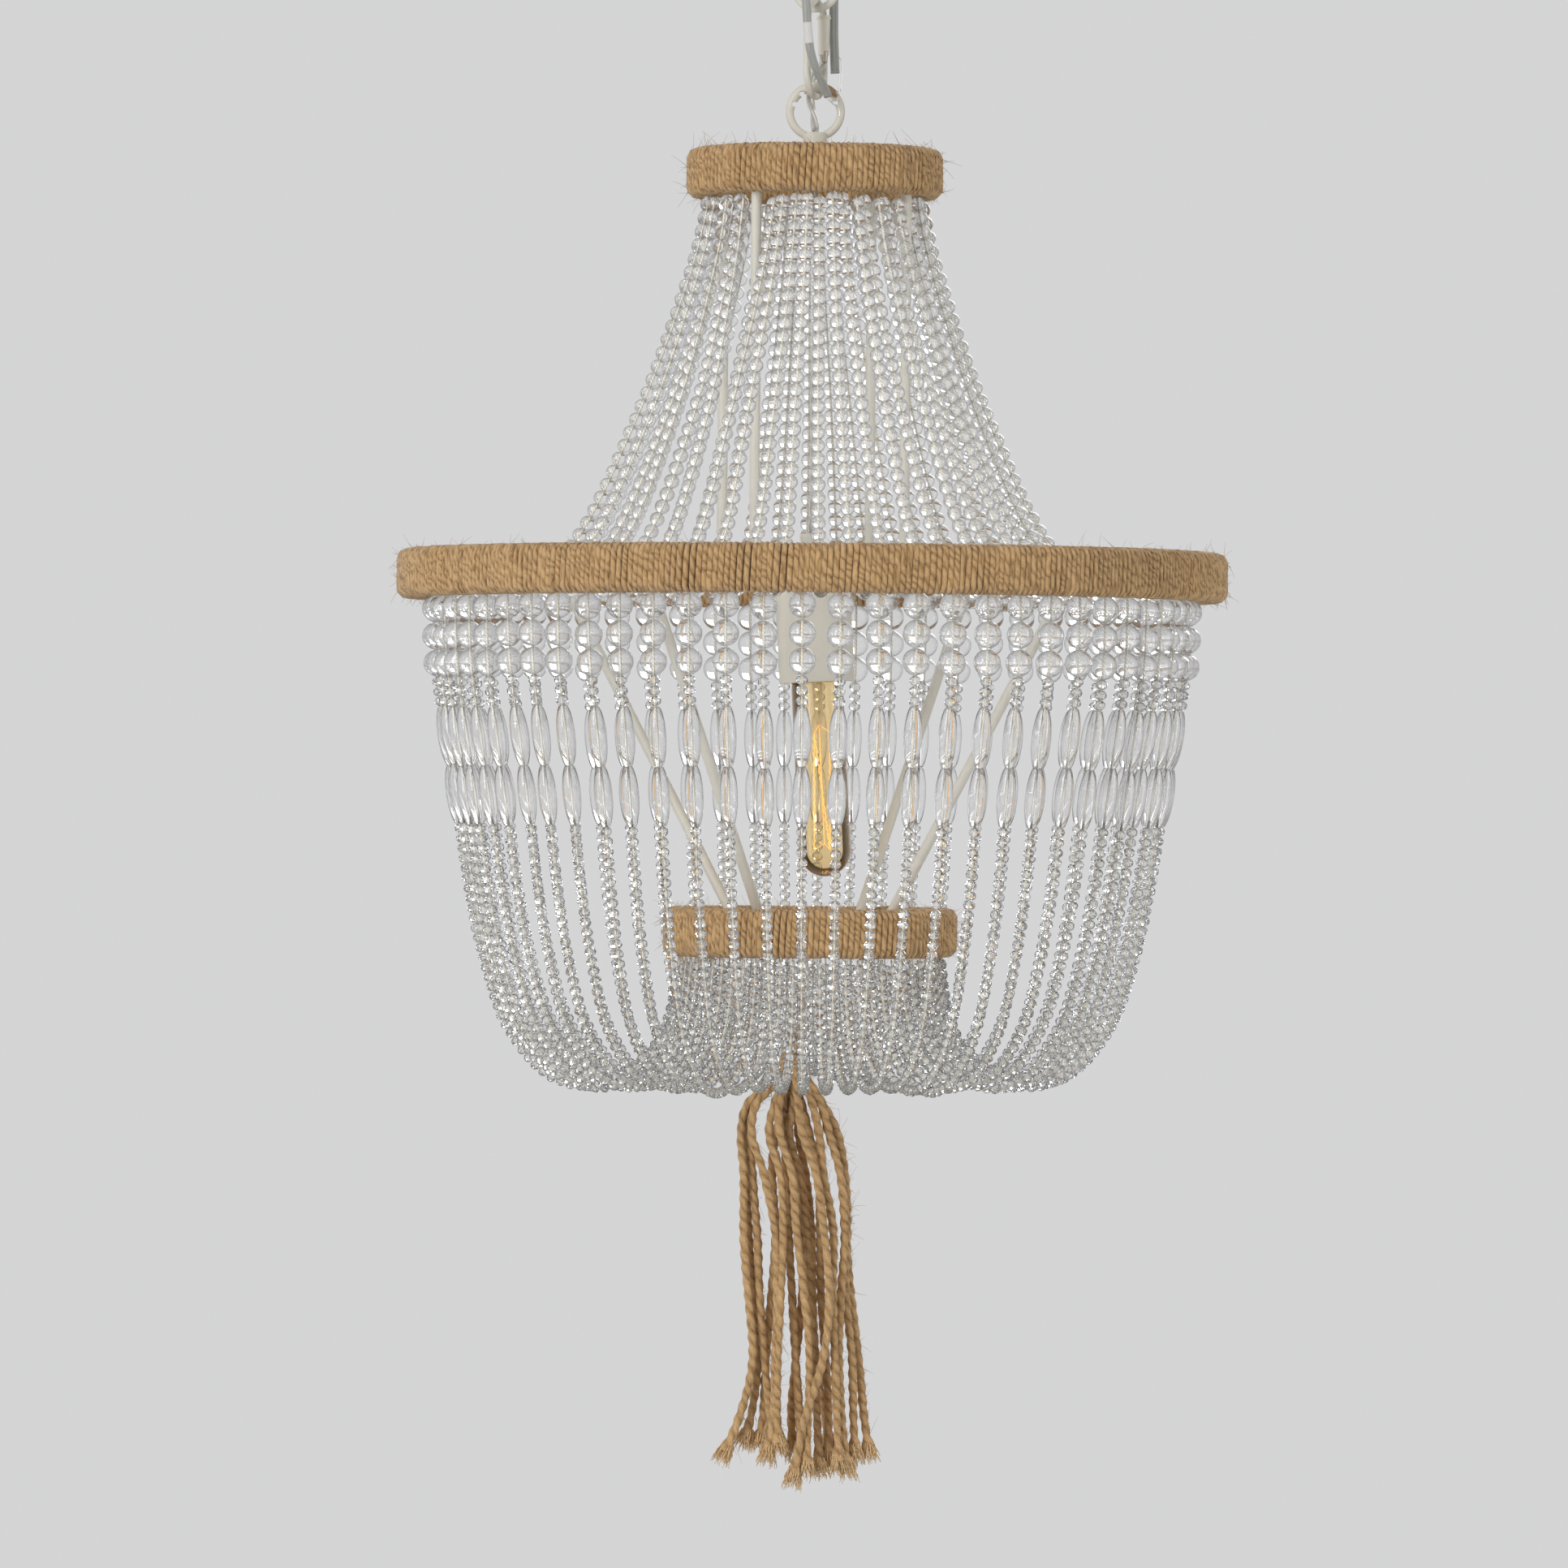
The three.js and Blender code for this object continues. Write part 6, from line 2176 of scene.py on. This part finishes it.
@dataclass
class Tassel:
    """The rope, the knot and the free cords under the bottom ring."""

    knot: Point = (-9.8, 0, -754.55)
    levels: tuple[float, ...] = (4, 19, 36, 61, 95, 134, 173, 208)
    depth_shares: tuple[float, ...] = (0.35, 0.7, 0.9, 1)
    cord: float = 5.6 * MM
    lobes: tuple[float, float] = (0.42, -16.8 * MM)
    brush: float = 9 * MM
    flare: float = 0.7
    flare_run: float = 11 * MM
    fibres: int = 110
    hairs: int = 110
    longest_hair: float = 15 * MM
    knot_half: float = 6.3
    rope: tuple[Point, ...] = (
        (-3.3, 0, -712.5), (-4.4, -0.2, -720), (-6.4, -0.1, -732), (-8.6, 0, -744), (-9.5, 0, -750),
    )
    rope_width: float = 4.6 * MM
    rope_hairs: int = 40
    longest_rope_hair: float = 9 * MM
    turns: float = 4.5
    turn_radius: float = 1.95 * MM
    over: tuple[Point, ...] = ((-5, -3, 5.5), (-3, -7.2, 2), (1.5, -8, -1), (5.5, -5.5, -4.5))
    over_radius: float = 1.9 * MM
    lanes: tuple[Lane, ...] = (
        ((-10, -27, -31, -29, -29, -26, -23, -31), -4, (-43, 238)),
        ((-9, -24, -28, -28, -26, -23, -20, -24), 4, (-30, 230)),
        ((-8, -22, -24.5, -17, -10, -8.5, -9.5, -10.5), -8, (-15, 239)),
        ((-8, -23, -26, -24, -21, -19, -16, -12), 0, (-11, 228)),
        ((-5, -11, -14, -7, -5, -6.5, -8, -8), -9, (-5, 233)),
        ((-3, -8, -7.5, 0, 3, 8, 11.5, 10.5), -11, (9, 246)),
        ((0, 0.5, -2, 4.5, 9, 12, 14, 16), -2, (18, 247)),
        ((2, 3.5, 6, 14.5, 19.5, 23, 19, 8.5), -14, (0.5, 252)),
        ((6, 12, 16, 19, 25, 25, 26.5, 28), -8, (30, 244)),
        ((8, 17, 22, 29, 32, 30, 29, 31), -4, (35, 247)),
        ((9, 18.5, 27, 32, 33.5, 33, 37, 38), 3, (39.5, 239)),
        ((8, 17, 24, 29.5, 32.5, 36, 41, 44.5), 9, (49, 238)),
        ((-1, -3.5, -5.5, -2, 5.5, 6.5, 3, 0.5), 8, (3, 237)),
        ((1, 3, 3.5, 8, 12, 13, 15, 21), 10, (25, 234)),
        ((-2, -5.5, -10, -12, -9.5, -12, -15, -16.5), 7, (-20, 232)),
        ((-1, -5.5, -4.5, -3.5, -2, 0.5, 3, 5.5), 2, (6.5, 243)),
        ((2, 5.5, 10, 16, 17, 18, 21, 23), 4, (22, 242)),
    )

    def _lane(self, lane: Lane) -> Route:
        """One cord's line, from inside the knot to its end.

        Args:
            lane: Its places across at each level, its depth, and its end across and down.

        Returns:
            The line.
        """
        x, y, end = lane
        top = self.knot[2] - self.knot_half
        points = [(0.3 * x[0], 0.2 * y, top + 6)]
        for i, across in enumerate(x):
            points.append((across, y * self.depth_shares[min(i, 3)], top - self.levels[i]))
        points.append((end[0], y, top - end[1] + 2))
        return Route((np.array(points) + (self.knot[0], self.knot[1], 0)) * MM)

    def build(self) -> None:
        chance = np.random.default_rng(5)
        self._rope(self._knot())
        for number, lane in enumerate(self.lanes, 1):
            self._strand(f"tassel_strand_{number}", self._lane(lane), chance)

    def _strand(self, name: str, route: Route, chance: np.random.Generator) -> None:
        """One two-ply cord, with its loose fibres and frayed end as a piece on it.

        Args:
            name: The cord's name.
            route: Its line.
            chance: The seeded generator.
        """
        whole = route.length - self.brush
        centres = route.at(np.linspace(0, whole, int(whole / (1.15 * MM))))
        outs = Weave.steady(np.gradient(centres, axis=0))
        swell = 1 + 0.05 * np.sin(np.linspace(0, 30, len(centres)) + chance.uniform(0, 6))
        left = np.linspace(whole, 0, len(centres))
        swell += self.flare * np.clip(1 - left / self.flare_run, 0, 1) ** 1.6
        cord = Weave()
        cord.tube(centres, self.cord / 2 * swell, 10, outs, lobes=self.lobes)
        piece = cord.piece(name, [JUTE])
        fuzz = Weave()
        self._fray(fuzz, centres, chance)
        inner = self.cord / 2 * 0.8
        scatter_hairs(fuzz, centres[8:], outs[8:], inner, self.hairs, chance, self.longest_hair)
        loose = fuzz.piece(f"{name}_fuzz", [TUFT, FIBRE])
        for part in (piece, loose):
            seat(part, Body.TASSEL, "tassel_cords")
        path = [tuple(point) for point in (*centres[:-2:4], centres[-1])]
        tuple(path[0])

    def _fray(self, weave: Weave, centres: Array, chance: np.random.Generator) -> None:
        """Splits a cord's end into a flared brush of fibres.

        Args:
            weave: The weave that they join.
            centres: The cord's centreline.
            chance: The seeded generator.
        """
        way = unit(centres[-1] - centres[-6])
        reach = self.cord / 2 * (1 + self.flare)
        share = np.linspace(0, 1, 5)[:, None]
        for _ in range(self.fibres):
            aside = chance.normal(0, 1, 3)
            aside = unit(aside - way * np.dot(aside, way)) * chance.uniform(0.2, 1.0) ** 0.5
            start = centres[-1] - way * chance.uniform(0, 5) * MM + aside * reach * 0.8
            length = chance.uniform(4, 11) * MM
            wave = chance.normal(0, 0.06, 3) * np.sin(6 * share)
            line = start + (way * share + aside * share * 0.32 + wave) * length
            weave.tube(line, np.linspace(0.42, 0.18, 5) * MM, 3)

    def _rope(self, knot: Piece) -> None:
        """The short rope between the finial and the knot.

        Args:
            knot: The knot's turns; not used.
        """
        route = Route(np.array(self.rope) * MM)
        centres = route.evenly(48)
        outs = Weave.steady(np.gradient(centres, axis=0))
        radius = np.interp(np.arange(48), (0, 4), (1.2, 2.3)) * MM
        rope = Weave()
        rope.tube(centres, radius, 10, outs, lobes=self.lobes)
        piece = rope.piece("tassel_hanger", [JUTE])
        fuzz = Weave()
        chance = np.random.default_rng(3)
        scatter_hairs(fuzz, centres, outs, 1.8 * MM, self.rope_hairs, chance, self.longest_rope_hair)
        loose = fuzz.piece("tassel_hanger_fuzz", [TUFT, FIBRE])
        for part in (piece, loose):
            seat(part, Body.TASSEL, "tassel_rope")
        path = [tuple(point) for point in route.evenly(24)]
        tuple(path[0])
        route.length

    def _knot(self) -> Piece:
        """The tight turns of cord that gather the tassel.

        Returns:
            The turns, with one cord laid over them.
        """
        weave = Weave()
        share = np.linspace(0, 1, 150)
        angle = 2 * math.pi * self.turns * share
        reach = 6.6 - 1.6 * np.abs(share - 0.45) * 2
        height = 4.6 - 9.2 * share + 0.9 * np.sin(angle + 1)
        centres = np.column_stack([reach * np.cos(angle), reach * np.sin(angle) * 0.92, height])
        weave.tube((centres + self.knot) * MM, self.turn_radius, 8, lobes=self.lobes)
        over = Route((np.array(self.over) + self.knot) * MM)
        weave.tube(over.evenly(24), self.over_radius, 8, lobes=self.lobes)
        piece = weave.piece("tassel_knot_turns", [JUTE])
        seat(piece, Body.TASSEL, "tassel_knot")
        return piece


def write_sizes() -> None:
    """Works out the solid model's box and the dressed model's box, and keeps neither."""
    boxes = {"cad": cad_box, "visual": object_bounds()}
    {name: [list(corner) for corner in box] for name, box in boxes.items()}


def main() -> None:
    """Builds the chandelier and its studio, and reports each part."""
    logging.basicConfig(level=logging.INFO, format="%(name)s: %(message)s")
    Bench.clear()
    CameraView().build()
    Cords().build()
    Tassel().build()
    upright = Matrix.Translation((0, 0, LOOP_Z))
    turned = Matrix.Rotation(math.pi / 2 - LINK_TURN, 4, "Z") @ Matrix.Rotation(math.pi, 4, "X")
    crown = Matrix.Translation((0, 0, CANOPY_EYE_Z)) @ turned
    moulds = {kind: shape.model() for kind, shape in SHAPES.items()}
    rings = {
        "top": (77 * MM, TOP_RING_Z, 1500),
        "middle": (250 * MM, MIDDLE_RING_Z, 2300),
        "bottom": (88.5 * MM, BOTTOM_RING_Z, 1500),
    }
    parts: dict[str, Callable[[], None]] = {
        "ceiling mount": CeilingMount().build,
        "upper loop": CastLoop("canopy_eye", "canopy_loop", Body.CEILING, crown, False).build,
        "lower loop": CastLoop("lamp_eye", "fixture_loop", Body.FIXTURE, upright, True).build,
        "chain": Chain().build,
        "rod frame": RodFrame().build,
        **{
            f"{name} ring": TwineRing(f"{name}_ring_twine", f"{name}_ring_wrap", radius, z, hairs).build
            for name, (radius, z, hairs) in rings.items()
        },
        "upper curtain": UpperCurtain(moulds).build,
        "lower curtain": LowerCurtain(moulds).build,
        "lamp": Lamp().build,
        "studio": Studio().build,
    }
    for name, build in parts.items():
        build()
        log.info("%s built", name)
    write_sizes()


if __name__ == "__main__":
    main()
